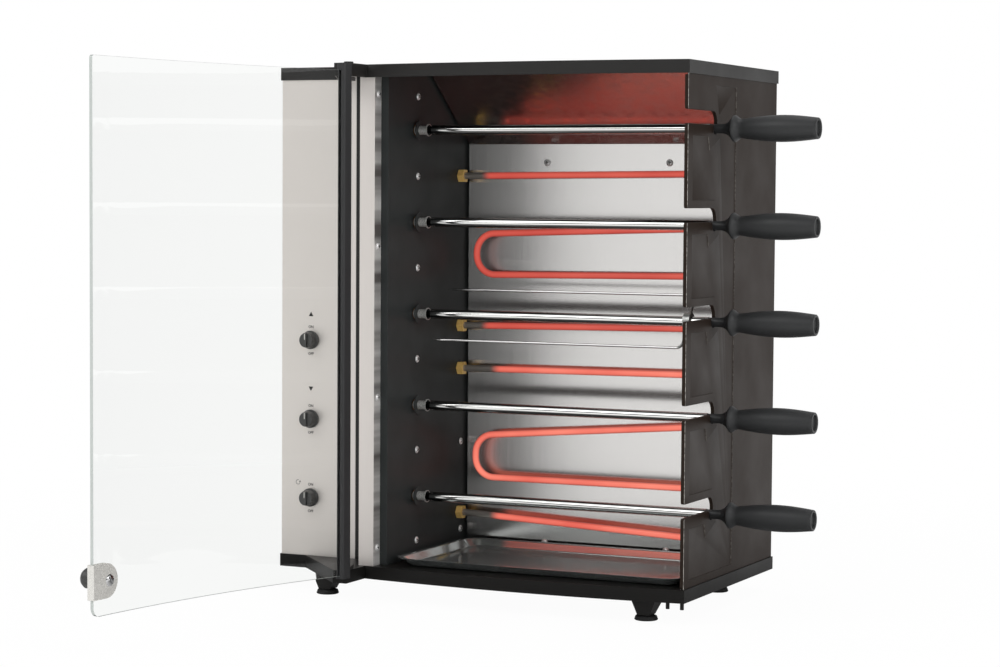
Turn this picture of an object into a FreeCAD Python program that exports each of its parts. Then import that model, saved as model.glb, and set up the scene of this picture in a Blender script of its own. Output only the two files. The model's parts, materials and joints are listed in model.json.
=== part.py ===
import FreeCAD, Part
import math
import os

V = FreeCAD.Vector
os.makedirs("parts", exist_ok=True)
X, Y, Z = V(1, 0, 0), V(0, 1, 0), V(0, 0, 1)

# Electric skewer grill. Millimetres, +Z up, the front faces -Y.
# The origin is the middle of the four feet, on the surface that they stand on.

# feet and case
foot_spacing_x = 408.0
foot_spacing_y = 229.0
foot_inset_x = 54.0        # right feet to the case's right face
foot_inset_y = 23.0        # front feet to the case's front
foot_height = 25.0         # table to the lower edge of the base
foot_pad_r = 13.5
foot_pad_height = 6.0
foot_bolt_r = 2.6
foot_neck_r = 4.5
bracket_foot = 15.0        # bracket's width at its lower end
bracket_splay = 13.0       # how much wider it gets to each side, up to the deck
bracket_tail = 26.0        # how far it reaches back at the deck
case_depth = 298.0
case_height = 600.0
rim_height = 15.0          # turned-down edge of the cover and of the base deck
sheet = 1.5                # painted steel
bright_sheet = 1.2         # stainless steel
bow_rise = 13.0            # how far the front rims bulge forward
column_setback = 44.0      # control column behind the cavity's front
column_strip_width = 28.5
column_width = 132.0       # left of the cavity box

# hinge ears of the cover and of the deck
ear_width_from_cavity = 9.0     # ear's right edge, from the cavity's outer left side
hinge_from_ear_edge = 8.0
hinge_forward = 28.5            # hinge axis in front of the case
ear_nose = 16.5                 # ear in front of the hinge axis
ear_nose_left = 10.0
base_ear_root = 96.0            # cavity's outer left side to the ear's root, deck
cover_ear_root = 54.0           # the same on the cover

# cavity
cavity_width = 409.0       # outer left side of the cavity box to the case's right face
insulation_gap = 29.0      # cavity box's outer left side to its inner face
trim_width = 19.5
trim_return = 14.8
reflector_depth = 227.0    # case front to the back reflector
reflector_height = 497.0   # above the deck
reflector_foot = 12.0
corner_gap = 3.0           # reflector's left edge to the cavity wall
reflector_end_gap = 1.0    # reflector's right edge to the side panel
slope_depth = 112.0        # how far the sloped top reflector comes forward

# skewers, from the lowest to the top one
skewer_count = 5
skewer_pitch = 109.0
skewer_first = 75.0        # lowest skewer above the deck
skewer_depth = 87.0        # skewer axis behind the case's front
rod_r = 5.8
tang = 6.0
tang_length = 16.0
rod_taper = 5.0
neck_r = 5.3
grip_stub_r = 3.0
grip_stub = 60.0
grip_length = 127.0
guard_place = 21.5         # guard outside the side panel
guard_r = 15.1
guard_to_waist = 8.5
waist_r = 10.8
waist_to_belly = 50.0
belly_r = 14.4
grip_end_r = 11.2
grip_end_wall = 2.2
skewer_travel = 17.0      # pulled out of its socket
tang_clearance = 0.3

# spindles, bushes and gears
socket_reach = 18.0
socket_r = 5.4
socket_lip_r = 7.2
socket_lip = 3.0
socket_flare = 8.0         # depth of the socket's funnel
slinger_r = 11.5           # disc that keeps fat off the bush
slinger = 1.2
slinger_gap = 5.0          # disc to the cavity wall
socket_gap = 0.4           # socket's end to the cavity wall
shaft_r = 4.5
tail_r = 3.5               # spindle's journal in the bearing plate
tail_end = 4.0             # how far it sticks out of the plate
collar_r = 6.5             # shoulder between the gear and the wall's bush
shaft_running = 0.05
bush_wall = 2.0
bush_flange = 2.0
bush_flange_step = 3.0
bush_play = 0.5            # bush flanges to the spindle's shoulder
rail_thickness = 3.0       # steel rail behind the cavity wall that carries the bushes
rail_width = 44.0
gear_teeth = 24
pinion_teeth = 12
gear_face = 8.0
gear_hex = 8.0
gear_gap = 1.5             # gears to the flanges of the plate's bushes
backlash = 0.5
pressure_angle = 20.0
gear_hole_r = 7.0
gear_holes = 6

# side panel's slots and pressing
slot_rise = 4.2            # mouth's lower edge above the skewer axis
slot_height = 15.6
seat_clearance = 0.5
slot_round = 13.0
lip_depth = 4.5
mouth_round = 3.0
press_depth = 0.8
press_front = 17.0
press_back = 155.0
press_bottom = 9.0
press_top = 24.0
press_margin = 9.0

# heating elements
element_r = 4.1
element_depth = 207.0
element_right_gap = 32.0
element_left_gap = 24.0
element_bend_r = 24.0
# each run's height above the deck, at its left end and at its right end
upper_runs = ((274.0, 278.5), (337.0, 340.5), (387.0, 397.5), (458.0, 461.5))
lower_runs = ((42.0, 27.0), (87.5, 88.0), (138.5, 164.0), (221.0, 223.5))
gland_hex = 15.0
gland_height = 8.0
gland_thread_r = 6.0
cold_end = 12.0            # past the bearing plate
wire_clearance = 0.4

# tray
tray_side_gap = 8.0
tray_front_gap = 9.0
tray_back_gap = 9.0
tray_height = 10.0
tray_rim = 6.0
tray_corner = 26.0
tray_sheet = 0.8
tray_slope = 12.0

# door
door_rest_angle = 103.6    # how far the door stands open at rest
glass_radius = 1249.0
glass_thickness = 4.0
glass_start = 24.0         # glass's hidden edge, from the hinge axis along the closed door
glass_end = 409.7
glass_offset = 16.5        # chord of the glass behind the hinge axis, door closed
glass_bottom = 11.2        # above the base's lower edge
glass_top = 590.7
glass_low_corner = 10.0
glass_high_corner = 3.0
post_along = 25.0          # middle of the post, from the hinge axis
post_width = 14.0
post_depth = 12.0
post_round = 2.5
post_bottom = 8.0          # above the base's lower edge
post_top = 599.0
glass_seat = 0.3
hinge_pin_r = 3.0
hinge_running = 0.08
hinge_head_r = 5.5
hinge_head = 2.0
arm_thickness = 4.0
arm_gap = 1.0
arm_r = 8.0

# latch on the free edge of the glass
latch_height = 47.5        # above the base's lower edge
latch_size = 37.0
latch_sheet = 2.0
latch_gap = 0.3
latch_screw_in = 24.0      # screw behind the free edge
latch_screw_r = 2.5
latch_head_r = 6.5
latch_hole_r = 3.5
latch_knob_r = 11.0
latch_knob_length = 26.0

# control panel
knob_from_left = 41.5
knob_heights = (70.3, 165.2, 260.0)    # above the deck
knob_r = 11.0
knob_height = 13.0
knob_gap = 0.6
knob_shaft_r = 3.0
switch_size = 28.0
switch_depth = 20.0
switch_neck_r = 5.0
switch_running = 0.1

# drive and wiring inside the column
motor_r = 25.0
motor_length = 32.0
gearbox_size = 62.0
gearbox_depth = 18.0
bracket_plate = 2.0
standoff_r = 4.0
standoff_spread = 27.0
motor_standoff = 8.0       # bearing plate to the motor's bracket
motor_shaft_r = 4.0
motor_shaft_in = 6.0       # shaft inside the gearbox
motor_shaft_hole = 1.5     # room round the shaft where it passes the bearing plate
gland_bore_r = 3.8
gland_body_r = 9.0
gland_flange_r = 12.0
gland_reach = 14.0
gland_x_from_left = 60.0
gland_above_deck = 45.0
terminal_ways = 3
terminal_pitch = 12.0
vent_count = 9
vent_pitch = 14.0
vent_length = 70.0
vent_height = 4.0
vent_above_deck = 380.0

# fork on the middle skewer
fork_clear = 4.5           # collar to the panel's turned edge, the skewer pulled out
fork_wire_r = 1.5
fork_bend_r = 7.0
fork_length = 314.5        # tip to the bridge
fork_point = 12.0
fork_offset_y = 21.0
fork_offset_z = 29.0
fork_collar_r = 10.0
fork_collar = 8.0

screw_head_r = 4.4
screw_head = 2.4
screw_r = 1.7
wall_screw_back = 6.0      # behind the spindles, and behind the elements
wall_screw_high = 40.0     # top one above the highest spindle
trim_screw_count = 4
trim_screw_first = 21.0
trim_screw_pitch = 176.7
reflector_screw_x = (111.0, 271.0)     # from the case's right face
reflector_screw_drop = 22.5
reflector_screw_low = 8.0
back_screw_rows = 4
back_screw_inset = 30.0
peg_r = 2.2
peg_reach = 9.0            # below the deck's rim

# derived places
case_width = cavity_width + column_width
right_x = foot_spacing_x / 2 + foot_inset_x
left_x = right_x - case_width
front_y = -foot_spacing_y / 2 - foot_inset_y
back_y = front_y + case_depth
base_z = foot_height
deck_z = base_z + rim_height
top_z = base_z + case_height
cover_z = top_z - rim_height
roof_z = top_z - sheet
column_y = front_y + column_setback
cavity_x = right_x - cavity_width
wall_x = cavity_x + insulation_gap
ear_x = cavity_x + ear_width_from_cavity
hinge_x = ear_x - hinge_from_ear_edge
hinge_y = front_y - hinge_forward
ear_y = hinge_y - ear_nose
spit_y = front_y + skewer_depth
spit_z = [deck_z + skewer_first + skewer_pitch * n for n in range(skewer_count)]
mouth_x = wall_x + socket_reach
tail_x = cavity_x - tail_end
plate_in_x = cavity_x + sheet
gear_x = plate_in_x + bush_flange + gear_gap
rail_x = wall_x - sheet - rail_thickness
module = skewer_pitch / gear_teeth
panel_x = right_x - sheet
panel_in_x = panel_x - sheet
panel_y = front_y + sheet
inner_back_y = back_y - 2 * sheet
face_y = column_y + sheet
face_in_y = face_y + bright_sheet
reflector_y = front_y + reflector_depth
element_y = front_y + element_depth
reflector_top = deck_z + reflector_height
knob_x = left_x + knob_from_left
knob_z = [deck_z + h for h in knob_heights]


def write(name, *solids):
    shape = solids[0] if len(solids) == 1 else Part.makeCompound(list(solids))
    shape.exportStep("parts/" + name + ".step")


def box(x0, y0, z0, x1, y1, z1):
    return Part.makeBox(x1 - x0, y1 - y0, z1 - z0, V(x0, y0, z0))


def rod(start, axis, radius, length):
    return Part.makeCylinder(radius, length, start, axis)


def polygon(points):
    return Part.Face(Part.makePolygon(list(points) + [points[0]]))


def joined(solids):
    return solids[0].multiFuse(solids[1:]).removeSplitter()


def turned(points, start, axis):
    """A solid of revolution about +X-like axis through start, from (distance, radius) pairs."""
    across = Y if abs(axis.dot(Y)) < 0.5 else Z
    wire = [start + axis * a + across * r for a, r in points]
    return polygon(wire).revolve(start, axis, 360)


def drilled(shape, screws):
    """The shape with a hole for the shank of each screw."""
    return shape.cut(Part.makeCompound(screws))


def hexagon(middle, axis, across_flats, length):
    radius = across_flats / math.sqrt(3)
    side = axis.cross(Z).normalize() if abs(axis.dot(Z)) < 0.5 else X
    other = axis.cross(side)
    turns = [math.radians(60 * n) for n in range(6)]
    ring = [middle + side * (radius * math.cos(t)) + other * (radius * math.sin(t)) for t in turns]
    return polygon(ring).extrude(axis * length)


def screw(place, outward, reach=5.0):
    """Pan-head screw: the head stands on place, the shank goes in."""
    head = turned([(0, 0), (0, screw_head_r), (screw_head * 0.6, screw_head_r * 0.85),
                   (screw_head, screw_head_r * 0.4), (screw_head, 0)], place, outward)
    return head.fuse(rod(place - outward * reach, outward, screw_r, reach)).removeSplitter()


# cover and deck: one bowed outline with a hinge ear, its rim turned down
def case_outline(ear_root):
    middle = V((ear_x + right_x) / 2, front_y - bow_rise, 0)
    corners = [V(right_x, front_y, 0), V(right_x, back_y, 0), V(left_x, back_y, 0),
               V(left_x, column_y, 0), V(cavity_x - ear_root, column_y, 0),
               V(hinge_x - ear_nose_left, ear_y, 0), V(ear_x, ear_y, 0), V(ear_x, front_y, 0)]
    edges = [Part.LineSegment(a, b).toShape() for a, b in zip(corners, corners[1:])]
    edges.append(Part.Arc(corners[-1], middle, corners[0]).toShape())
    return Part.Face(Part.Wire(edges))


def rimmed_plate(ear_root, low):
    outline = case_outline(ear_root)
    inside = outline.makeOffset2D(-sheet)
    outer = outline.extrude(V(0, 0, rim_height))
    plate = outer.cut(inside.extrude(V(0, 0, rim_height - sheet)))
    plate.translate(V(0, 0, low))
    return plate.cut(rod(V(hinge_x, hinge_y, low), Z, hinge_pin_r, rim_height))


write("base_deck", rimmed_plate(base_ear_root, base_z))
write("top_cover", rimmed_plate(cover_ear_root, cover_z))


# right side panel: a slot for each skewer, edges turned in, a pressed field round the slots
def slot_edges(z):
    """The slot's outline from its mouth's upper corner round the seat to the lower corner."""
    seat = rod_r + seat_clearance
    top = z + slot_rise + slot_height
    low = z + slot_rise
    near, far = spit_y - seat, spit_y + seat
    m, h = mouth_round, math.sqrt(0.5)
    mouth = panel_y + m
    points = [V(0, panel_y, top + m), V(0, mouth, top), V(0, far - slot_round, top),
              V(0, far, top - slot_round), V(0, far, z), V(0, near, z), V(0, near, low - 1.5),
              V(0, near - 1.5, low), V(0, mouth, low), V(0, panel_y, low - m)]
    rounds = {0: V(0, mouth - m * h, top + m * (1 - h)),
              2: V(0, far - slot_round * (1 - h), top - slot_round * (1 - h)),
              4: V(0, spit_y, z - seat),
              6: V(0, near - 1.5 * (1 - h), low - 1.5 * (1 - h)),
              8: V(0, mouth - m * h, low - m * (1 - h))}
    edges = []
    for n, (a, b) in enumerate(zip(points, points[1:])):
        edge = Part.Arc(a, rounds[n], b) if n in rounds else Part.LineSegment(a, b)
        edges.append(edge.toShape())
    return points, edges


def side_outline():
    last = back_y - sheet
    edges = []
    here = V(0, panel_y, roof_z)
    for z in reversed(spit_z):
        points, cut = slot_edges(z)
        edges.append(Part.LineSegment(here, points[0]).toShape())
        edges += cut
        here = points[-1]
    rest = [here, V(0, panel_y, deck_z), V(0, last, deck_z), V(0, last, roof_z), V(0, panel_y, roof_z)]
    edges += [Part.LineSegment(a, b).toShape() for a, b in zip(rest, rest[1:])]
    return Part.Face(Part.Wire(edges))


def pressed_field(shrink=0.0):
    """The pressed field's outline: it stays a margin away from every slot and dips under each seat."""
    f = front_y + press_front + shrink
    b = front_y + press_back - shrink
    low, high = deck_z + press_bottom + shrink, roof_z - press_top - shrink
    m = press_margin + shrink
    far = spit_y + rod_r + seat_clearance + m
    points = [(f, low)]
    for z in spit_z:
        top = z + slot_rise + slot_height + m
        under = z - rod_r - seat_clearance - m
        points += [(f, under + 6), (spit_y - 22 - shrink, under + 6), (spit_y - 17, under - 9),
                   (far, under + 5), (far, top - slot_round), (far - slot_round, top)]
        if z != spit_z[-1]:
            points.append((f, top))
    points[-1] = (far - 4, top - slot_round)
    points += [(far - 13, high), (b, high), (b, low)]
    return polygon([V(0, y, z) for y, z in points])


def side_panel():
    face = side_outline()
    skin = face.extrude(V(sheet, 0, 0))
    edge = face.cut(face.makeOffset2D(-sheet)).extrude(V(sheet - lip_depth, 0, 0))
    front = spit_y + rod_r + seat_clearance + 1.2 * sheet
    keep = box(-lip_depth, panel_y, deck_z + sheet, sheet, front, roof_z - rim_height)
    bulge = pressed_field(sheet).extrude(V(-press_depth, 0, 0))
    panel = joined([skin, edge.common(keep), bulge])
    panel = panel.cut(pressed_field().extrude(V(press_depth, 0, 0)).translated(V(sheet - press_depth, 0, 0)))
    panel.translate(V(panel_in_x, 0, 0))
    return panel


write("right_side_panel", side_panel())

# the rest of the shell, with the rear panel's screws
row_step = (roof_z - deck_z - 2 * back_screw_inset) / (back_screw_rows - 1)
back_rows = [deck_z + back_screw_inset + n * row_step for n in range(back_screw_rows)]
left_back_screws = [screw(V(left_x + 10, back_y - sheet, z), Y, 4.0) for z in back_rows]
back_screws = left_back_screws + [screw(V(x, back_y - sheet, z), Y, 4.0)
                                  for x in (cavity_x + 12, panel_in_x - 12) for z in back_rows]
write("left_side_panel", drilled(joined([
    box(left_x + sheet, face_in_y, deck_z, left_x + 2 * sheet, back_y - sheet, roof_z),
    box(left_x + 2 * sheet, inner_back_y - sheet, deck_z, left_x + 14, inner_back_y, roof_z)]),
    left_back_screws))

vents = [box(left_x + knob_from_left - vent_length / 2 + 30, inner_back_y,
             deck_z + vent_above_deck + vent_pitch * n,
             left_x + knob_from_left + vent_length / 2 + 30, back_y,
             deck_z + vent_above_deck + vent_pitch * n + vent_height) for n in range(vent_count)]
gland_x = left_x + gland_x_from_left
gland_z = deck_z + gland_above_deck
rear = box(left_x + 2 * sheet, inner_back_y, deck_z, panel_in_x, back_y - sheet, roof_z)
rear = rear.cut(Part.makeCompound(vents + [rod(V(gland_x, inner_back_y, gland_z), Y, gland_body_r, 4)]))
write("rear_panel", drilled(rear, back_screws))

# control column's front: stainless panel and a black strip beside the cavity
strip_x = cavity_x - column_strip_width
panel = joined([
    box(left_x + sheet, face_y, deck_z, strip_x, face_in_y, cover_z + rim_height - sheet),
    box(strip_x - bright_sheet, face_in_y, deck_z, strip_x, face_in_y + 10, roof_z),
    box(left_x + 2 * sheet, face_in_y, deck_z, left_x + 2 * sheet + bright_sheet, face_in_y + 10, roof_z)])
for z in knob_z:
    panel = panel.cut(rod(V(knob_x, face_y - 1, z), Y, switch_neck_r, 5))
write("control_panel", panel)
write("column_strip", joined([
    box(strip_x, face_y, deck_z, cavity_x, face_y + sheet, roof_z),
    box(cavity_x - sheet, face_y + sheet, deck_z, cavity_x, face_y + 12, roof_z)]))

# cavity box: bearing plate outside, black wall inside, bright trim at the front
trim_y = front_y + sheet
flange_y = trim_y + bright_sheet + trim_return
ends_z = [deck_z + run[0] for runs in (upper_runs, lower_runs) for run in (runs[0], runs[-1])]

plate = box(cavity_x, trim_y + bright_sheet, deck_z, cavity_x + sheet, inner_back_y, roof_z)
wall = joined([
    box(wall_x - sheet, flange_y, deck_z, wall_x, reflector_y + reflector_foot, roof_z),
    box(cavity_x + sheet, flange_y, deck_z, wall_x - sheet, flange_y + sheet, roof_z)])
half_rail = rail_width / 2
rail = box(rail_x, spit_y - half_rail, deck_z, wall_x - sheet, spit_y + half_rail, roof_z)
bush_r = shaft_r + shaft_running + bush_wall
tail_bush_r = tail_r + shaft_running + bush_wall
for z in spit_z:
    plate = plate.cut(rod(V(cavity_x - 1, spit_y, z), X, tail_bush_r, 5))
    wall = wall.cut(rod(V(rail_x - 1, spit_y, z), X, bush_r, 9))
    rail = rail.cut(rod(V(rail_x - 1, spit_y, z), X, bush_r, 9))
for z in ends_z:
    plate = plate.cut(rod(V(cavity_x - 1, element_y, z), X, element_r + wire_clearance, 5))
    wall = wall.cut(rod(V(wall_x - 4, element_y, z), X, gland_thread_r, 8))
pinion_y = spit_y + module * (gear_teeth + pinion_teeth) / 2
middle_z = spit_z[skewer_count // 2]
plate = plate.cut(rod(V(cavity_x - 1, pinion_y, middle_z), X, motor_shaft_r + motor_shaft_hole, 5))
between = [z + skewer_pitch / 2 for z in spit_z[:-1]]
wall_rows = [spit_z[0] - skewer_pitch / 2] + between + [spit_z[-1] + wall_screw_high]
rail_screws = [screw(V(wall_x, spit_y + wall_screw_back, z), X) for z in wall_rows]
wall_screws = [screw(V(wall_x, element_y + wall_screw_back, z), X) for z in wall_rows[:2]]
write("bearing_plate", plate)
write("cavity_wall", drilled(wall, rail_screws + wall_screws))
write("bearing_rail", drilled(rail, rail_screws))
trim_x = cavity_x + trim_width
trim = joined([
    box(cavity_x, trim_y, deck_z, trim_x, trim_y + bright_sheet, roof_z),
    box(trim_x - bright_sheet, trim_y + bright_sheet, deck_z, trim_x, flange_y, roof_z)])
trim_rows = [deck_z + trim_screw_first + n * trim_screw_pitch for n in range(trim_screw_count)]
trim_screws = [screw(V(trim_x, trim_y + bright_sheet + trim_return / 2, z), X, 4.0) for z in trim_rows]
write("cavity_trim", drilled(trim, trim_screws))

reflector_x0 = wall_x + corner_gap
reflector_x1 = panel_in_x - reflector_end_gap
reflector = joined([
    box(reflector_x0, reflector_y, deck_z, reflector_x1, reflector_y + bright_sheet, reflector_top),
    box(reflector_x0, reflector_y + bright_sheet, deck_z, reflector_x1,
        reflector_y + reflector_foot, deck_z + bright_sheet)])
reflector_screws = [screw(V(right_x - d, reflector_y, z), -Y, 6.0) for d in reflector_screw_x
                    for z in (reflector_top - reflector_screw_drop, deck_z + reflector_screw_low)]
write("back_reflector", drilled(reflector, reflector_screws))
slope_y = reflector_y - slope_depth
slope = math.atan2(roof_z - reflector_top, slope_depth)
thick_y = bright_sheet / math.sin(slope)
write("top_reflector", polygon([
    V(reflector_x0, reflector_y, reflector_top), V(reflector_x0, slope_y, roof_z),
    V(reflector_x0, slope_y + thick_y, roof_z), V(reflector_x0, reflector_y + thick_y, reflector_top)
]).extrude(V(reflector_x1 - reflector_x0, 0, 0)))


# bushes and spindles
def bush(x, side, journal, seat, z):
    outer = rod(V(x, spit_y, z), X * side, journal + shaft_running + bush_wall, seat + bush_flange)
    flange = rod(V(x + side * seat, spit_y, z), X * side,
                 journal + shaft_running + bush_wall + bush_flange_step, bush_flange)
    bore = rod(V(x - side, spit_y, z), X * side, journal + shaft_running, seat + bush_flange + 2)
    return outer.fuse(flange).cut(bore).removeSplitter()


write("spindle_bushes", *(bush(*place, z) for z in spit_z
                          for place in ((wall_x, -1, shaft_r, sheet + rail_thickness),
                                        (cavity_x, 1, tail_r, sheet))))


def spindle(z):
    tail = turned([(0, 0), (0, tail_r), (gear_x - tail_x, tail_r), (gear_x - tail_x, 0)],
                  V(tail_x, spit_y, z), X)
    seat = gear_x + gear_face
    shoulder = rail_x - bush_flange - bush_play - seat
    socket = wall_x + socket_gap - seat
    disc = wall_x + slinger_gap - seat
    mouth = mouth_x - seat
    body = turned([(0, 0), (0, collar_r), (shoulder, collar_r), (shoulder, shaft_r), (socket, shaft_r),
                   (socket, socket_r), (disc, socket_r), (disc, slinger_r), (disc + slinger, slinger_r),
                   (disc + slinger, socket_r), (mouth - socket_lip, socket_r),
                   (mouth - socket_lip / 2, socket_lip_r), (mouth, socket_lip_r), (mouth, 0)],
                  V(seat, spit_y, z), X)
    bore = tang / 2 + tang_clearance
    pocket = box(mouth_x - tang_length - 1, spit_y - bore, z - bore, mouth_x + 1, spit_y + bore, z + bore)
    flare = turned([(-1, 0), (-1, bore), (0, bore), (socket_flare - socket_lip, socket_r - 0.8),
                    (socket_flare, socket_lip_r - 0.8), (socket_flare, 0)],
                   V(mouth_x - socket_flare, spit_y, z), X)
    hex_part = hexagon(V(gear_x, spit_y, z), X, gear_hex, gear_face)
    return joined([tail, body, hex_part]).cut(joined([pocket, flare]))


# gears: involute flanks, two chords each, so that meshing pairs have flat faces only
def involute(angle):
    return math.tan(angle) - angle


def gear(teeth, middle, first_tooth, holes, bore):
    pitch_r = module * teeth / 2
    base_r = pitch_r * math.cos(math.radians(pressure_angle))
    tip_r, root_r = pitch_r + 0.92 * module, pitch_r - 1.15 * module
    half = math.pi / (2 * teeth) - backlash / (2 * pitch_r) + involute(math.radians(pressure_angle))

    def lean(r):
        return half - involute(math.acos(min(1.0, base_r / r)))

    profile = [(root_r, lean(base_r)), (pitch_r, lean(pitch_r)), (tip_r, lean(tip_r))]
    ring = []
    for n in range(teeth):
        at = first_tooth + 2 * math.pi * n / teeth
        for r, t in [(r, -t) for r, t in profile] + list(reversed(profile)):
            ring.append(middle + Y * (r * math.cos(at + t)) + Z * (r * math.sin(at + t)))
    blank = polygon(ring).extrude(V(gear_face, 0, 0))
    cuts = [bore]
    for n in range(holes):
        at = 2 * math.pi * (n + 0.5) / holes
        place = middle + Y * (pitch_r * 0.55 * math.cos(at)) + Z * (pitch_r * 0.55 * math.sin(at))
        cuts.append(hexagon(place, X, 2 * gear_hole_r, gear_face))
    return blank.cut(Part.makeCompound(cuts))


tooth_step = 2 * math.pi / gear_teeth
for n, z in enumerate(spit_z):
    name = str(n + 1)
    at = V(gear_x, spit_y, z)
    phase = math.pi / 2 + (tooth_step / 2 if n % 2 else 0.0)
    write("spindle_" + name, spindle(z))
    write("spindle_gear_" + name, gear(gear_teeth, at, phase, gear_holes, hexagon(at, X, gear_hex, gear_face)))

# the pinion stands behind the middle gear; its gap faces the tooth there
pinion_at = V(gear_x, pinion_y, middle_z)
middle_phase = math.pi / 2 + (tooth_step / 2 if (skewer_count // 2) % 2 else 0.0)
offset = (middle_phase / tooth_step) % 1.0
pinion_step = 2 * math.pi / pinion_teeth
pinion_phase = math.pi + (0.5 - offset) * pinion_step
motor_face_x = cavity_x - motor_standoff
shaft_end_x = motor_face_x - bracket_plate - motor_shaft_in
pinion = gear(pinion_teeth, pinion_at, pinion_phase, 0, hexagon(pinion_at, X, gear_hex, gear_face))
motor_shaft = joined([
    hexagon(pinion_at, X, gear_hex, gear_face),
    rod(V(shaft_end_x, pinion_y, middle_z), X, motor_shaft_r, gear_x - shaft_end_x)])
write("drive_pinion", pinion, motor_shaft)

shaft_hole = rod(V(shaft_end_x - 1, pinion_y, middle_z), X, motor_shaft_r + shaft_running,
                 motor_face_x - shaft_end_x + 2)
half_box = gearbox_size / 2
plate_half = standoff_spread + standoff_r + 2
bracket = [box(motor_face_x - bracket_plate, pinion_y - plate_half, middle_z - plate_half,
               motor_face_x, pinion_y + plate_half, middle_z + plate_half)]
for sy in (-1, 1):
    for sz in (-1, 1):
        bracket.append(rod(V(motor_face_x, pinion_y + sy * standoff_spread, middle_z + sz * standoff_spread),
                           X, standoff_r, cavity_x - motor_face_x))
write("motor_bracket", joined(bracket).cut(shaft_hole))
gearbox = box(motor_face_x - bracket_plate - gearbox_depth, pinion_y - half_box, middle_z - half_box,
              motor_face_x - bracket_plate, pinion_y + half_box, middle_z + half_box)
can = rod(V(motor_face_x - bracket_plate - gearbox_depth, pinion_y, middle_z), -X, motor_r, motor_length)
write("gearmotor", joined([gearbox, can]).cut(shaft_hole))


# heating elements: four runs joined by round bends, both ends through glands in the wall
def rounded_path(points, radius):
    edges = []
    here = points[0]
    for before, corner, after in zip(points, points[1:], points[2:]):
        a, b = (before - corner).normalize(), (after - corner).normalize()
        half = math.acos(a.dot(b)) / 2
        reach = radius / math.tan(half)
        start, end = corner + a * reach, corner + b * reach
        centre = corner + (a + b).normalize() * (radius / math.sin(half))
        edges.append(Part.LineSegment(here, start).toShape())
        edges.append(Part.Arc(start, centre + (corner - centre).normalize() * radius, end).toShape())
        here = end
    edges.append(Part.LineSegment(here, points[-1]).toShape())
    return Part.Wire(edges)


def element(runs):
    start_x = cavity_x - cold_end
    turn_x = panel_in_x - element_right_gap
    left = wall_x + element_left_gap
    level_x = wall_x + gland_height + 2
    at = [(start_x, runs[0][0]), (level_x, runs[0][0]), (turn_x, runs[0][1]), (turn_x, runs[1][1]),
          (left, runs[1][0]), (left, runs[2][0]), (turn_x, runs[2][1]), (turn_x, runs[3][1]),
          (level_x, runs[3][0]), (start_x, runs[3][0])]
    path = rounded_path([V(x, element_y, deck_z + h) for x, h in at], element_bend_r)
    ring = Part.Wire(Part.makeCircle(element_r, V(start_x, element_y, deck_z + runs[0][0]), X))
    return path.makePipe(Part.Face(ring))


write("upper_element", element(upper_runs))
write("lower_element", element(lower_runs))


def gland(z):
    nut = hexagon(V(wall_x, element_y, z), X, gland_hex, gland_height)
    thread = rod(V(wall_x - sheet - 8, element_y, z), X, gland_thread_r, 8 + sheet)
    back_nut = hexagon(V(wall_x - sheet - 4, element_y, z), X, gland_hex, 4)
    bore = rod(V(wall_x - 20, element_y, z), X, element_r, 40)
    return joined([nut, thread, back_nut]).cut(bore)


write("element_glands", *(gland(z) for z in ends_z))


# skewers: rod with a tang, turned grip; a fork on the middle one
def skewer_rod(z):
    start = mouth_x - tang_length + 0.5
    end = panel_in_x - lip_depth + sheet - 1.0
    square = box(start, spit_y - tang / 2, z - tang / 2, mouth_x + rod_taper, spit_y + tang / 2, z + tang / 2)
    body = turned([(0, 0), (0, tang / 2), (rod_taper, rod_r), (end - mouth_x, rod_r),
                   (end - mouth_x, grip_stub_r), (end - mouth_x + grip_stub, grip_stub_r),
                   (end - mouth_x + grip_stub, 0)], V(mouth_x, spit_y, z), X)
    return joined([square, body])


def bulge(start, start_r, top, top_r, steps=4):
    """Points of a quarter wave from a radius at start up to the largest radius at top."""
    turns = [math.pi / 2 * n / steps for n in range(steps + 1)]
    return [(start + (top - start) * t / (math.pi / 2), start_r + (top_r - start_r) * math.sin(t))
            for t in turns]


def grip(z):
    start = panel_in_x - lip_depth + sheet - 1.0
    arm = right_x - start
    guard = arm + guard_place
    waist = guard + guard_to_waist
    belly = waist + waist_to_belly
    outline = [(0, grip_stub_r), (0, neck_r), (guard - 12, neck_r), (guard - 7, neck_r + 2),
               (guard - 1, guard_r - 0.5), (guard + 1, guard_r), (guard + 3.5, guard_r - 1.5), (waist, waist_r)]
    outline += bulge(waist, waist_r, belly, belly_r)[1:]
    outline += list(reversed(bulge(grip_length, grip_end_r, belly, belly_r)))[1:]
    outline += [(grip_length, grip_end_r - grip_end_wall), (grip_length - 3, grip_end_r - grip_end_wall - 1),
                (grip_length - 3, 0), (grip_stub, 0), (grip_stub, grip_stub_r)]
    return turned(outline, V(start, spit_y, z), X)


for n, z in enumerate(spit_z):
    write("skewer_rod_" + str(n + 1), skewer_rod(z))
    write("skewer_grip_" + str(n + 1), grip(z))

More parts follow.
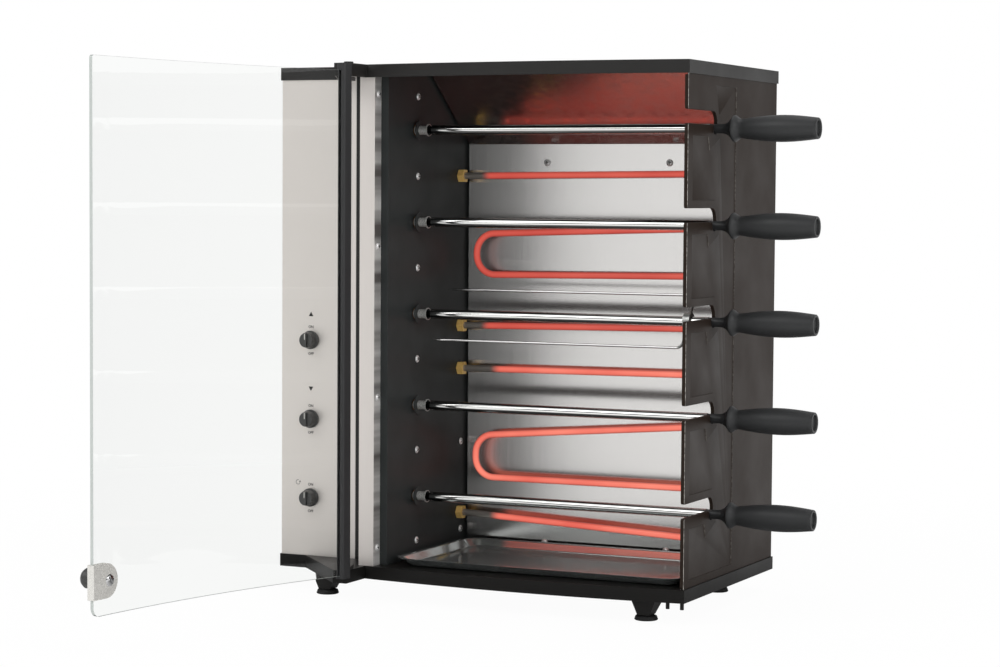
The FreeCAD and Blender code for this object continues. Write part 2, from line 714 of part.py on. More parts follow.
fork_x = panel_in_x + sheet - lip_depth - skewer_travel - fork_clear - fork_collar / 2
on_axis = V(fork_x, spit_y, middle_z)
spread = V(0, fork_offset_y, fork_offset_z)
flat = V(spread).normalize().cross(X)
tips = [on_axis + spread - X * fork_length, on_axis - spread - X * fork_length]
bends = [on_axis + spread, on_axis - spread]
roots = [tip + X * fork_point for tip in tips]
wire = rounded_path([roots[0]] + bends + [roots[1]], fork_bend_r)
fork_solids = [wire.makePipe(Part.Face(Part.Wire(Part.makeCircle(fork_wire_r, roots[0], X)))),
               rod(on_axis - X * fork_collar / 2, X, fork_collar_r, fork_collar)]
fork_solids += [Part.makeCone(0.3, fork_wire_r, fork_point, tip, X) for tip in tips]
thumb = on_axis + flat * rod_r
fork = joined(fork_solids).cut(rod(on_axis - X * 20, X, rod_r, 40)).cut(rod(thumb, flat, screw_r, 20))
write("meat_fork", fork)
write("fork_thumbscrew", joined([
    rod(thumb, flat, screw_r, 12), rod(thumb + flat * 8, flat, 5.5, 5)]))


# drip tray: a shallow pressing with a flat rim and round corners
def tray_ring(inset, z, corner):
    x0, x1 = wall_x + tray_side_gap + inset, panel_in_x - lip_depth + sheet - inset - 1
    y0, y1 = front_y + tray_front_gap + inset, reflector_y - tray_back_gap - inset
    half = corner * (1 - math.sqrt(0.5))
    edges = []
    spots = [(x0, y0, 1, 1), (x1, y0, -1, 1), (x1, y1, -1, -1), (x0, y1, 1, -1)]
    arcs = []
    for n, (x, y, sx, sy) in enumerate(spots):
        a, b = V(x, y + sy * corner, z), V(x + sx * corner, y, z)
        if n % 2:
            a, b = b, a
        arcs.append((a, V(x + sx * half, y + sy * half, z), b))
    for n, (a, m, b) in enumerate(arcs):
        edges.append(Part.Arc(a, m, b).toShape())
        edges.append(Part.LineSegment(b, arcs[(n + 1) % 4][0]).toShape())
    return Part.Wire(edges)


def tray_form(grow, low, high):
    foot = tray_rim + tray_slope
    return Part.makeLoft([tray_ring(foot - grow, low, tray_corner - foot + grow),
                          tray_ring(tray_rim - grow, high, tray_corner - tray_rim + grow)], True)


tray_low = deck_z + 0.3
tray_high = deck_z + tray_height
rim = Part.Face(tray_ring(0, tray_high - tray_sheet, tray_corner)).extrude(V(0, 0, tray_sheet))
tray = joined([rim, tray_form(0.0, tray_low, tray_high - tray_sheet)])
write("drip_tray", tray.cut(tray_form(-tray_sheet, tray_low + tray_sheet, tray_high + 0.01)))


# door: built closed, along +X from the hinge axis, then swung open
def swung(shape):
    shape.rotate(V(hinge_x, hinge_y, 0), Z, -door_rest_angle)
    return shape


span = glass_end - glass_start
glass_mid_x = hinge_x + (glass_start + glass_end) / 2
chord_y = hinge_y + glass_offset
glass_centre = V(glass_mid_x, chord_y + math.sqrt(glass_radius ** 2 - (span / 2) ** 2), 0)
glass_z0, glass_z1 = base_z + glass_bottom, base_z + glass_top
edge_angle = math.asin(span / 2 / glass_radius)


def glass_form(grow, z0, z1):
    """The bent pane between z0 and z1, thicker by grow on each face."""
    outer, inner = glass_radius + glass_thickness / 2 + grow, glass_radius - glass_thickness / 2 - grow

    def at(r, t):
        return V(glass_centre.x + r * math.sin(t), glass_centre.y - r * math.cos(t), z0)

    a = edge_angle
    edges = [Part.Arc(at(outer, -a), at(outer, 0), at(outer, a)).toShape(),
             Part.LineSegment(at(outer, a), at(inner, a)).toShape(),
             Part.Arc(at(inner, a), at(inner, 0), at(inner, -a)).toShape(),
             Part.LineSegment(at(inner, -a), at(outer, -a)).toShape()]
    return Part.Face(Part.Wire(edges)).extrude(V(0, 0, z1 - z0))


clamp_angle = edge_angle - latch_size / 2 / glass_radius
inward = V(-math.cos(clamp_angle), -math.sin(clamp_angle), 0)
outward = V(math.sin(clamp_angle), -math.cos(clamp_angle), 0)
free_edge = glass_centre + outward * glass_radius - inward * (latch_size / 2)
latch_z = base_z + latch_height
latch_axis = free_edge + inward * latch_screw_in + V(0, 0, latch_z)


def corner_cutter(z, radius, up):
    """What a round corner of the free edge takes away."""
    block = Part.Face(Part.makePolygon([
        free_edge - outward * 20 + inward * radius, free_edge + outward * 20 + inward * radius,
        free_edge + outward * 20 - inward * 5, free_edge - outward * 20 - inward * 5,
        free_edge - outward * 20 + inward * radius])).extrude(V(0, 0, up * -(radius + 1)))
    block.translate(V(0, 0, z + up))
    core = rod(free_edge + inward * radius - outward * 21 + V(0, 0, z - up * radius), outward, radius, 42)
    return block.cut(core)


glass = glass_form(0, glass_z0, glass_z1)
glass = glass.cut(corner_cutter(glass_z0, glass_low_corner, -1))
glass = glass.cut(corner_cutter(glass_z1, glass_high_corner, 1))
glass = glass.cut(rod(latch_axis - outward * 10, outward, latch_hole_r, 20))
write("door_glass", swung(glass))

post_x, post_y = hinge_x + post_along, hinge_y + glass_offset
post_z0, post_z1 = base_z + post_bottom, base_z + post_top
post = box(post_x - post_width / 2, post_y - post_depth / 2, post_z0,
           post_x + post_width / 2, post_y + post_depth / 2, post_z1)
upright = [e for e in post.Edges if abs(e.tangentAt(e.FirstParameter).z) > 0.9]
post = post.makeFillet(post_round, upright)
post = post.cut(glass_form(glass_seat, glass_z0 - glass_seat, glass_z1 + glass_seat))
write("door_post", swung(post.copy()))


def hinge_arm(z):
    axis = V(hinge_x, hinge_y, z)
    reach = V(post_x, post_y, z) - axis
    side = V(-reach.y, reach.x, 0).normalize()
    near, far = arm_r, post_depth / 2
    web = polygon([axis + side * near, axis - side * near, axis + reach - side * far,
                   axis + reach + side * far]).extrude(V(0, 0, arm_thickness))
    arm = joined([web, rod(axis, Z, arm_r, arm_thickness)])
    solid_post = box(post_x - post_width / 2, post_y - post_depth / 2, z - 1,
                     post_x + post_width / 2, post_y + post_depth / 2, z + arm_thickness + 1)
    return arm.cut(solid_post).cut(rod(axis, Z, hinge_pin_r + hinge_running, arm_thickness))


low_arm_z = deck_z + arm_gap
high_arm_z = cover_z - arm_gap - arm_thickness
write("hinge_arms", *(swung(hinge_arm(z)) for z in (low_arm_z, high_arm_z)))
low_pin = joined([
    rod(V(hinge_x, hinge_y, deck_z - sheet - hinge_head), Z, hinge_head_r, hinge_head),
    rod(V(hinge_x, hinge_y, deck_z - sheet), Z, hinge_pin_r, sheet + arm_gap + arm_thickness)])
high_pin = joined([
    rod(V(hinge_x, hinge_y, top_z), Z, hinge_head_r, hinge_head),
    rod(V(hinge_x, hinge_y, high_arm_z), Z, hinge_pin_r, top_z - high_arm_z)])
write("hinge_pins", low_pin, high_pin)


# latch: a folded clamp over the free edge, its screw, and a round knob outside
def latch_leaf(depth, thickness):
    """A D-shaped leaf at this depth outwards of the pane's middle."""
    r = latch_size / 2
    straight = latch_size - r
    low = latch_axis.z - r
    base = free_edge + outward * depth - inward * (latch_gap + latch_sheet)
    slab = Part.Face(Part.makePolygon([
        base, base + inward * (straight + latch_gap + latch_sheet),
        base + inward * (straight + latch_gap + latch_sheet) + outward * thickness,
        base + outward * thickness, base])).extrude(V(0, 0, 2 * r))
    slab.translate(V(0, 0, low))
    round_end = rod(free_edge + inward * straight + outward * depth + V(0, 0, latch_axis.z), outward,
                    r, thickness)
    return joined([slab, round_end])


half_pane = glass_thickness / 2 + latch_gap
leaves = [latch_leaf(half_pane, latch_sheet), latch_leaf(-half_pane - latch_sheet, latch_sheet)]
bridge_at = free_edge - inward * (latch_gap + latch_sheet) - outward * half_pane
bridge = Part.Face(Part.makePolygon([
    bridge_at, bridge_at + inward * latch_sheet, bridge_at + inward * latch_sheet + outward * 2 * half_pane,
    bridge_at + outward * 2 * half_pane, bridge_at])).extrude(V(0, 0, latch_size))
bridge.translate(V(0, 0, latch_axis.z - latch_size / 2))
screw_hole = rod(latch_axis - outward * 10, outward, latch_screw_r, 20)
write("latch_clamp", swung(joined(leaves + [bridge]).cut(screw_hole)))
leaf_out = half_pane + latch_sheet
inner_face = latch_axis - outward * leaf_out
head = turned([(0, 0), (0, latch_head_r), (1.2, latch_head_r * 0.8), (1.8, latch_head_r * 0.35), (1.8, 0)],
              inner_face, -outward)
groove = box(-0.6, -8, -0.9, 0.6, 8, 0.9)
groove.rotate(V(0, 0, 0), Z, math.degrees(clamp_angle) + 90)
groove.rotate(V(0, 0, 0), outward, 60)
groove.translate(inner_face - outward * 1.9)
screw_body = rod(inner_face, outward, latch_screw_r, 2 * leaf_out + 10)
write("latch_screw", swung(joined([head, screw_body]).cut(groove)))
knob_profile = [(0, 0), (0, 7.0), (5, 6.0), (10, 6.6), (14, 9.4), (18, latch_knob_r - 0.4),
                (21, latch_knob_r), (24, latch_knob_r * 0.82), (latch_knob_length, latch_knob_r * 0.45),
                (latch_knob_length, 0)]
latch_knob = turned(knob_profile, latch_axis + outward * leaf_out, outward)
write("latch_knob", swung(latch_knob.cut(screw_body)))


# knobs, with their shafts in the switches
def knob(z):
    seat = V(knob_x, face_y - knob_gap, z)
    body = turned([(0, 0), (0, knob_r), (2.5, knob_r), (4.0, knob_r * 0.86), (knob_height, knob_r * 0.78),
                   (knob_height, 0)], seat, -Y)
    tip = face_y - knob_gap - knob_height
    pointer = box(knob_x - 2.2, tip - 2.5, z - knob_r * 0.72, knob_x + 2.2, tip + 0.5, z + knob_r * 0.78)
    shaft = rod(seat, Y, knob_shaft_r, knob_gap + 14)
    return joined([body, pointer, shaft])


def switch(z):
    neck = rod(V(knob_x, face_y, z), Y, switch_neck_r, bright_sheet)
    body = box(knob_x - switch_size / 2, face_in_y, z - switch_size / 2,
               knob_x + switch_size / 2, face_in_y + switch_depth, z + switch_size / 2)
    tags = [box(knob_x + s * 8 - 2.4, face_in_y + switch_depth, z - 0.4,
                knob_x + s * 8 + 2.4, face_in_y + switch_depth + 7, z + 0.4) for s in (-1, 1)]
    hole = rod(V(knob_x, face_y - 1, z), Y, knob_shaft_r + switch_running, 17)
    return joined([neck, body] + tags).cut(hole)


for name, z in zip(("motor_knob", "lower_element_knob", "upper_element_knob"), knob_z):
    write(name, knob(z))
write("rotary_switches", *(switch(z) for z in knob_z))

# supply: gland in the rear panel, terminal block inside
gland_body = turned([(0, 0), (0, gland_body_r), (2 * sheet + 8, gland_body_r), (2 * sheet + 8, 0)],
                    V(gland_x, inner_back_y - 8, gland_z), Y)
gland_flange = turned([(0, 0), (0, gland_flange_r), (3, gland_flange_r), (gland_reach, gland_body_r * 0.75),
                       (gland_reach, 0)], V(gland_x, back_y - sheet, gland_z), Y)
gland_nut = hexagon(V(gland_x, inner_back_y - 5, gland_z), Y, 2 * gland_flange_r, 5)
cable_bore = rod(V(gland_x, inner_back_y - gland_reach, gland_z), Y, gland_bore_r, 3 * gland_reach)
write("cable_gland", joined([gland_body, gland_flange, gland_nut]).cut(cable_bore))
block_x, block_z = gland_x + 30, gland_z + 30
ways = box(block_x, inner_back_y - 18, block_z, block_x + terminal_pitch * terminal_ways, inner_back_y,
           block_z + 22)
for n in range(terminal_ways):
    mid = block_x + terminal_pitch * (n + 0.5)
    ways = ways.cut(rod(V(mid, inner_back_y - 18, block_z + 11), Y, 3.4, 8))
    ways = ways.cut(box(mid - 3, inner_back_y - 12, block_z, mid + 3, inner_back_y - 6, block_z + 5))
write("terminal_block", ways)


# feet: folded brackets under the deck with pushed-in rubber pads
def rectangle(x0, y0, x1, y1, z):
    return Part.makePolygon([V(x0, y0, z), V(x1, y0, z), V(x1, y1, z), V(x0, y1, z), V(x0, y0, z)])


def foot_bracket(x, y, shrink=0.0):
    low, high = foot_pad_height, deck_z - sheet
    a, b = bracket_foot / 2 - shrink, bracket_foot / 2 + bracket_splay - shrink
    return Part.makeLoft([rectangle(x - a, y - 9 + shrink, x + a, y + 9 - shrink, low + shrink),
                          rectangle(x - b, y - 12 + shrink, x + b, y + bracket_tail - shrink, high)], True)


feet_at = [(sx * foot_spacing_x / 2, sy * foot_spacing_y / 2) for sx in (-1, 1) for sy in (-1, 1)]
inside_deck = case_outline(base_ear_root).makeOffset2D(-sheet).extrude(V(0, 0, deck_z - sheet))
brackets, pads = [], []
for x, y in feet_at:
    hollow = foot_bracket(x, y, sheet)
    neck_hole = rod(V(x, y, 0), Z, foot_neck_r, 12)
    brackets.append(foot_bracket(x, y).common(inside_deck).cut(joined([hollow, neck_hole])))
    pad = turned([(0, 0), (0, foot_pad_r - 1), (1, foot_pad_r), (foot_pad_height - 1, foot_pad_r - 1.5),
                  (foot_pad_height, foot_neck_r + 2), (foot_pad_height, foot_neck_r),
                  (foot_pad_height + sheet + 3, foot_neck_r), (foot_pad_height + sheet + 3, 0)],
                 V(x, y, 0), Z)
    pads.append(pad.cut(rod(V(x, y, -1), Z, foot_bolt_r, 20)))
write("foot_brackets", *brackets)
write("foot_pads", *pads)

# fasteners, those of one finish together
base_pegs = [rod(V(x, front_y + 12, base_z - peg_reach), Z, peg_r, deck_z - sheet - base_z + peg_reach)
             for x in (panel_in_x - 4, panel_in_x - 21)]
write("bright_screws", *(rail_screws + wall_screws + trim_screws + reflector_screws))
write("black_screws", *(back_screws + base_pegs))
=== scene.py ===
import json
import math
import bmesh
import bpy
from mathutils import Matrix, Vector


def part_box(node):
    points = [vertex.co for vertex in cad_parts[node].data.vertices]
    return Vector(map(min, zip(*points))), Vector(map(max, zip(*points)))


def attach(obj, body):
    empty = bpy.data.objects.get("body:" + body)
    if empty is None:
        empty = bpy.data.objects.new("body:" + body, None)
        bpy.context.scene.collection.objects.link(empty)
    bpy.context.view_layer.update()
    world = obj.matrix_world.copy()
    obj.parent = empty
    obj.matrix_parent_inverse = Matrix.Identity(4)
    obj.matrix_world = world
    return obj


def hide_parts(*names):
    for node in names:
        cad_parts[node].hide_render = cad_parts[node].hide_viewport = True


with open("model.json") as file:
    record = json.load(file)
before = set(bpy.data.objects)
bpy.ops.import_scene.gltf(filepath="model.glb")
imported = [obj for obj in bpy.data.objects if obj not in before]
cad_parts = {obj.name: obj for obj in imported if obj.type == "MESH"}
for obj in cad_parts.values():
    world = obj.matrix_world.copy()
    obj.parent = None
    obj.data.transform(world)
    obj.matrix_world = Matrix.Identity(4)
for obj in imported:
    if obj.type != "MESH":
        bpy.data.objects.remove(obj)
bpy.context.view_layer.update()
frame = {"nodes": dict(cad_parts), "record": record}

nodes = frame["nodes"]
record = frame["record"]
mm = 0.001
bodyOf = {member: body for body, members in record["behaviour"]["bodies"].items() for member in members}
slotOf = {part["node"]: part["material_slot"] for part in record["subparts"]}
collection = bpy.context.scene.collection


def hexColour(code):
    # sRGB hex to the linear values that sockets take
    levels = [int(code[i:i + 2], 16) / 255 for i in (1, 3, 5)]
    return [v / 12.92 if v <= 0.04045 else ((v + 0.055) / 1.055) ** 2.4 for v in levels] + [1.0]


def shaded(tone, share):
    return [v * share for v in tone[:3]] + [1.0]


def addNode(tree, kind, inputs=None, **settings):
    node = tree.nodes.new(kind)
    for name, value in settings.items():
        setattr(node, name, value)
    for socket, value in (inputs or {}).items():
        if isinstance(value, bpy.types.NodeSocket):
            tree.links.new(value, node.inputs[socket])
        else:
            node.inputs[socket].default_value = value
    return node


def combined(tree, operation, first, second):
    return addNode(tree, "ShaderNodeMath", {0: first, 1: second}, operation=operation).outputs[0]


def ranged(tree, value, start, end, low=0.0, high=1.0, curve="LINEAR"):
    # start to end of a value as low to high
    limits = {"Value": value, "From Min": start, "From Max": end, "To Min": low, "To Max": high}
    return addNode(tree, "ShaderNodeMapRange", limits, interpolation_type=curve).outputs["Result"]


def spread(tree, noise, low, high):
    # most of a noise lies between 0.3 and 0.7
    return ranged(tree, noise, 0.3, 0.7, low, high)


def blend(tree, share, first, second):
    # from the first colour to the second
    return addNode(tree, "ShaderNodeMix", {"Factor": share, 6: first, 7: second}, data_type="RGBA").outputs[2]


def shaderMix(tree, share, first, second):
    return addNode(tree, "ShaderNodeMixShader", {0: share, 1: first, 2: second}).outputs[0]


def parts(tree, vector):
    # its X, Y and Z
    return addNode(tree, "ShaderNodeSeparateXYZ", {0: vector}).outputs


def coordinate(tree, kind="Object"):
    return addNode(tree, "ShaderNodeTexCoord").outputs[kind]


def raysOf(tree, *kinds):
    # 1 for rays of any of these kinds
    path = addNode(tree, "ShaderNodeLightPath")
    found = path.outputs[kinds[0]]
    for kind in kinds[1:]:
        found = combined(tree, "MAXIMUM", found, path.outputs[kind])
    return found


def ramp(tree, value, stops):
    # a colour ramp with a colour at each place of the value
    node = addNode(tree, "ShaderNodeValToRGB", {"Fac": value})
    steps = node.color_ramp.elements
    while len(steps) < len(stops):
        steps.new(0.5)
    for step, (at, colour) in zip(steps, stops):
        step.position = at
        step.color = colour
    return node.outputs["Color"]


def surface(name, **sockets):
    # a new material with a Principled surface; underscores stand for the spaces in a socket's name
    material = bpy.data.materials.new(name)
    material.use_nodes = True
    tree = material.node_tree
    shader = tree.nodes["Principled BSDF"]
    for socket, value in sockets.items():
        shader.inputs[socket.replace("_", " ")].default_value = value
    return material, tree, shader


def feed(tree, shader, **sources):
    for socket, source in sources.items():
        tree.links.new(source, shader.inputs[socket.replace("_", " ")])


def grain(tree, shader, size, height, stretch=(1, 1, 1), detail=2.0, strength=1.0):
    # noise bump on object coordinates: size is one grain in metres, stretch its length along each axis
    where = coordinate(tree)
    turned = addNode(tree, "ShaderNodeMapping", {"Vector": where, "Scale": [1 / (size * s) for s in stretch]})
    noise = addNode(tree, "ShaderNodeTexNoise", {"Vector": turned.outputs["Vector"], "Scale": 1.0,
                                                 "Detail": detail, "Roughness": 0.6})
    bump = addNode(tree, "ShaderNodeBump", {"Height": noise.outputs["Fac"], "Distance": height,
                                            "Strength": strength})
    feed(tree, shader, Normal=bump.outputs["Normal"])
    return noise.outputs["Fac"], where


def blotches(tree, where, size, low, high, detail=3.0):
    noise = addNode(tree, "ShaderNodeTexNoise", {"Vector": where, "Scale": 1 / size, "Detail": detail})
    return spread(tree, noise.outputs["Fac"], low, high)


# powder-coated steel: satin with a fine orange peel
powder = {"roughness": (0.37, 0.48), "patch": 60 * mm, "peel": 0.9 * mm, "height": 0.05 * mm, "strength": 0.5}
# painted highlight: pale dashes on the upright folds between the front and the right, where light catches the edges,
# most of all at the front.
# "fold" is the normal's X times its Y, "near" and "far" are distances from the front
edgeHighlight = {"fold": (-0.12, -0.4), "dash": 2.4 * mm, "faint": 0.25, "near": 10 * mm, "far": 40 * mm, "atFar": 0.22}


def coated(name, coat, colour, gloss):
    material, tree, shader = surface(name, Base_Color=hexColour(colour), Specular_IOR_Level=gloss)
    where = grain(tree, shader, coat["peel"], coat["height"], strength=coat["strength"])[1]
    feed(tree, shader, Roughness=blotches(tree, where, coat["patch"], *coat["roughness"]))
    return material, tree, shader, where


def powderCoatedSteel(name, colour, gloss):
    return coated(name, powder, colour, gloss)[0]


def wornPowderCoat(name, colour, gloss, highlight, front):
    material, tree, shader, where = coated(name, powder, colour, gloss)
    normal = parts(tree, coordinate(tree, "Normal"))
    fold = ranged(tree, combined(tree, "MULTIPLY", normal["X"], normal["Y"]), *edgeHighlight["fold"])
    nearFront = ranged(tree, parts(tree, where)["Y"], front + edgeHighlight["near"], front + edgeHighlight["far"], 1.0, edgeHighlight["atFar"])
    dash = blotches(tree, where, edgeHighlight["dash"], edgeHighlight["faint"], 1.0, detail=0.0)
    share = combined(tree, "MULTIPLY", combined(tree, "MULTIPLY", fold, nearFront), dash)
    # the pale colour blended in here is the painted highlight on the folds
    feed(tree, shader, Base_Color=blend(tree, share, hexColour(colour), hexColour(highlight)))
    return material


# enamelled inner wall: smoother than the powder coat, with long shallow waves
enamel = {"colour": "#353838", "gloss": 0.14, "roughness": (0.34, 0.45), "patch": 40 * mm,
          "peel": 14 * mm, "height": 0.08 * mm, "strength": 0.4}


def blackEnamel():
    return coated("blackEnamel", enamel, enamel["colour"], enamel["gloss"])[0]


# brushed stainless: long fine scratches from top to bottom, drawn 0.4 mm apart so that they show
brushed = {"colour": "#e8e2dd", "dark": 0.96, "roughness": (0.36, 0.48), "metal": 0.6, "scratch": 0.4 * mm,
           "depth": 0.02 * mm, "stretch": (2, 2, 120), "strength": 0.35}


def brushedStainless():
    material, tree, shader = surface("brushedStainlessUpright", Metallic=brushed["metal"])
    scratch = grain(tree, shader, brushed["scratch"], brushed["depth"], brushed["stretch"], detail=3.0,
                    strength=brushed["strength"])[0]
    tone = hexColour(brushed["colour"])
    feed(tree, shader, Roughness=spread(tree, scratch, *brushed["roughness"]),
         Base_Color=blend(tree, spread(tree, scratch, 0.0, 1.0), shaded(tone, brushed["dark"]), tone))
    return material


# bright-rolled stainless: nearly a mirror from top to bottom, spread sideways by its upright rolling lines
rolled = {"colour": "#e3e1df", "dark": 0.95, "roughness": (0.18, 0.21), "uneven": 1.0, "line": 0.7 * mm,
          "depth": 0.004 * mm, "stretch": (2, 2, 160), "strength": 0.2}


def brightRolledStainless():
    material, tree, shader = surface("brightRolledStainless", Metallic=1.0, Anisotropic=rolled["uneven"])
    line = grain(tree, shader, rolled["line"], rolled["depth"], rolled["stretch"], detail=3.0,
                 strength=rolled["strength"])[0]
    tone = hexColour(rolled["colour"])
    feed(tree, shader, Roughness=spread(tree, line, *rolled["roughness"]),
         Tangent=addNode(tree, "ShaderNodeCombineXYZ", {"X": 1.0}).outputs["Vector"],
         Base_Color=blend(tree, spread(tree, line, 0.0, 1.0), shaded(tone, rolled["dark"]), tone))
    return material


# polished metal: a mirror with faint waves from rolling and a haze of wiping marks
polish = {"haze": 9 * mm, "clear": 0.7, "wiped": 1.4, "strength": 0.5}


def polishedMetal(name, colour, roughness, wave=25 * mm, height=0.1 * mm, metal=1.0):
    material, tree, shader = surface(name, Metallic=metal, Base_Color=hexColour(colour))
    where = grain(tree, shader, wave, height, strength=polish["strength"])[1]
    feed(tree, shader, Roughness=blotches(tree, where, polish["haze"], roughness * polish["clear"],
                                          roughness * polish["wiped"]))
    return material


# painted reflection: bright metal shows a part in front of it as this dark, dull colour, a painted shade in place of
# its lit reflection
def dullBack(material, colour, share):
    tree = material.node_tree
    out = tree.nodes["Material Output"]
    lit = out.inputs["Surface"].links[0].from_socket
    back = addNode(tree, "ShaderNodeBsdfDiffuse", {"Color": hexColour(colour)})
    path = addNode(tree, "ShaderNodeLightPath")
    part = combined(tree, "MULTIPLY", path.outputs["Is Glossy Ray"], share)
    feed(tree, out, Surface=shaderMix(tree, part, lit, back.outputs[0]))
    return material


# skewer rods: painted reflection in their colour, light along the front where they would mirror the lit room, and dark
# above, below and near the tip where they would mirror the dark cavity;
# each stop is a place from straight down (0) to straight up (1) round the rod
rod = {"above": 0.4, "front": 0.88, "below": 0.2, "under": 0.7, "blue": 0.98, "tipLength": 58 * mm, "tip": 0.14,
       "stops": [(0.0, "under"), (0.12, "under"), (0.18, "below"), (0.37, "below"), (0.42, "front"), (0.64, "front"),
                 (0.72, "above"), (1.0, "above")]}


def mirrorRod(material, tipEnd):
    tree = material.node_tree
    upward = parts(tree, addNode(tree, "ShaderNodeNewGeometry").outputs["Normal"])["Z"]
    stops = [(at, (rod[kind], rod[kind], rod[kind] * rod["blue"], 1)) for at, kind in rod["stops"]]
    around = ramp(tree, ranged(tree, upward, -1.0, 1.0), stops)
    shade = ranged(tree, parts(tree, coordinate(tree))["X"], tipEnd, tipEnd + rod["tipLength"], rod["tip"],
                   curve="SMOOTHERSTEP")
    tone = addNode(tree, "ShaderNodeVectorMath", {0: around, 1: shade}, operation="MULTIPLY")
    feed(tree, tree.nodes["Principled BSDF"], Base_Color=tone.outputs["Vector"])
    return material


# folded edge of the bright trim: painted reflection in bands across it, each a little lighter or darker
flange = {"dark": "#75716e", "light": "#f4f2ef", "band": 30 * mm, "metal": 0.4, "roughness": 0.3}


def bandedFlange():
    material, tree, shader = surface("stainlessFlangePaintedReflection", Metallic=flange["metal"], Roughness=flange["roughness"])
    height = combined(tree, "MULTIPLY", parts(tree, coordinate(tree))["Z"], 1 / flange["band"])
    noise = addNode(tree, "ShaderNodeTexNoise", {"W": height, "Scale": 1.0, "Detail": 3.0}, noise_dimensions="1D")
    share = spread(tree, noise.outputs["Fac"], 0.0, 1.0)
    feed(tree, shader, Base_Color=blend(tree, share, hexColour(flange["dark"]), hexColour(flange["light"])))
    return material


# plain metals with a machined or plated skin
plating = {"height": 0.02 * mm, "strength": 0.3, "uneven": 0.07}


def platedMetal(name, colour, roughness, size=1.5 * mm, metal=1.0):
    material, tree, shader = surface(name, Metallic=metal, Base_Color=hexColour(colour))
    spot = grain(tree, shader, size, plating["height"], strength=plating["strength"])[0]
    feed(tree, shader, Roughness=spread(tree, spot, roughness - plating["uneven"], roughness + plating["uneven"]))
    return material


# moulded plastic: spark-eroded texture from the tool, as fine pits
mould = {"height": 0.06 * mm, "strength": 0.6, "patch": 20 * mm, "uneven": 0.05, "pale": 1.35}


def mouldedPlastic(name, colour, roughness, size=0.7 * mm, shine=0.5):
    material, tree, shader = surface(name, IOR=1.5, Specular_IOR_Level=shine)
    pits, where = grain(tree, shader, size, mould["height"], strength=mould["strength"])
    rough = blotches(tree, where, mould["patch"], roughness - mould["uneven"], roughness + mould["uneven"])
    tone = hexColour(colour)
    feed(tree, shader, Roughness=rough,
         Base_Color=blend(tree, spread(tree, pits, 0.0, 1.0), tone, shaded(tone, mould["pale"])))
    return material


# steel tube of the element: grey near each gland, and glowing beyond, from the core's colour in the middle to the hot
# one at the edges; weak as a lamp, so that the walls stay dark, and duller on the side turned to the reflector
glow = {"cold": "#a8a29b", "burnt": "#3a2a26", "hot": "#6e211c", "strength": 1.0, "inMetal": 0.92, "onWalls": 0.08,
        "patch": 120 * mm, "metal": 0.6, "roughness": 0.35, "scale": 0.8 * mm, "scaleHeight": 0.03 * mm,
        "scaleStrength": 0.4, "edge": (0.1, 0.85), "turned": (0.1, 0.6),
        "upper_element": {"core": "#dc6052", "ember": "#c44a41", "start": 31 * mm, "full": 45 * mm, "back": 0.12},
        "lower_element": {"core": "#ff8a76", "ember": "#e25a4d", "start": 44 * mm, "full": 60 * mm, "back": 0.5}}


def glowingTube(name, glandPlaces, hot):
    material, tree, shader = surface(name, Metallic=glow["metal"], Roughness=glow["roughness"])
    where = grain(tree, shader, glow["scale"], glow["scaleHeight"], strength=glow["scaleStrength"])[1]
    gaps = [addNode(tree, "ShaderNodeVectorMath", {0: where, 1: place}, operation="DISTANCE").outputs["Value"]
            for place in glandPlaces]
    near = gaps[0]
    for gap in gaps[1:]:
        near = combined(tree, "MINIMUM", near, gap)
    heat = ranged(tree, near, hot["start"], hot["full"], curve="SMOOTHSTEP")
    facing = addNode(tree, "ShaderNodeLayerWeight", {"Blend": 0.5}).outputs["Facing"]
    uneven = blend(tree, blotches(tree, where, glow["patch"], 0.0, 1.0), hexColour(hot["core"]),
                   hexColour(hot["ember"]))
    path = addNode(tree, "ShaderNodeLightPath").outputs
    mirrored = ranged(tree, path["Is Glossy Ray"], 0.0, 1.0, glow["strength"], glow["inMetal"])
    strength = ranged(tree, path["Is Diffuse Ray"], 0.0, 1.0, mirrored, glow["onWalls"])
    side = ranged(tree, parts(tree, coordinate(tree, "Normal"))["Y"], *glow["turned"], 1.0, hot["back"])
    feed(tree, shader, Base_Color=blend(tree, heat, hexColour(glow["cold"]), hexColour(glow["burnt"])),
         Emission_Color=blend(tree, ranged(tree, facing, *glow["edge"]), uneven, hexColour(glow["hot"])),
         Emission_Strength=combined(tree, "MULTIPLY", combined(tree, "MULTIPLY", heat, strength), side))
    return material


# tempered float glass: clear, and it lets the light through to what is behind
def temperedGlass():
    material, tree, shader = surface("temperedFloatGlass", Base_Color=hexColour("#fafbfa"), Roughness=0.0,
                                     IOR=1.3, Transmission_Weight=1.0)
    clear = addNode(tree, "ShaderNodeBsdfTransparent", {"Color": hexColour("#f8f9f9")})
    unseen = raysOf(tree, "Is Shadow Ray", "Is Diffuse Ray")
    feed(tree, tree.nodes["Material Output"], Surface=shaderMix(tree, unseen, shader.outputs[0], clear.outputs[0]))
    return material


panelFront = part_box("right_side_panel")[0][1]
chrome = {"roughness": 0.08, "wave": 60 * mm, "height": 0.02 * mm}
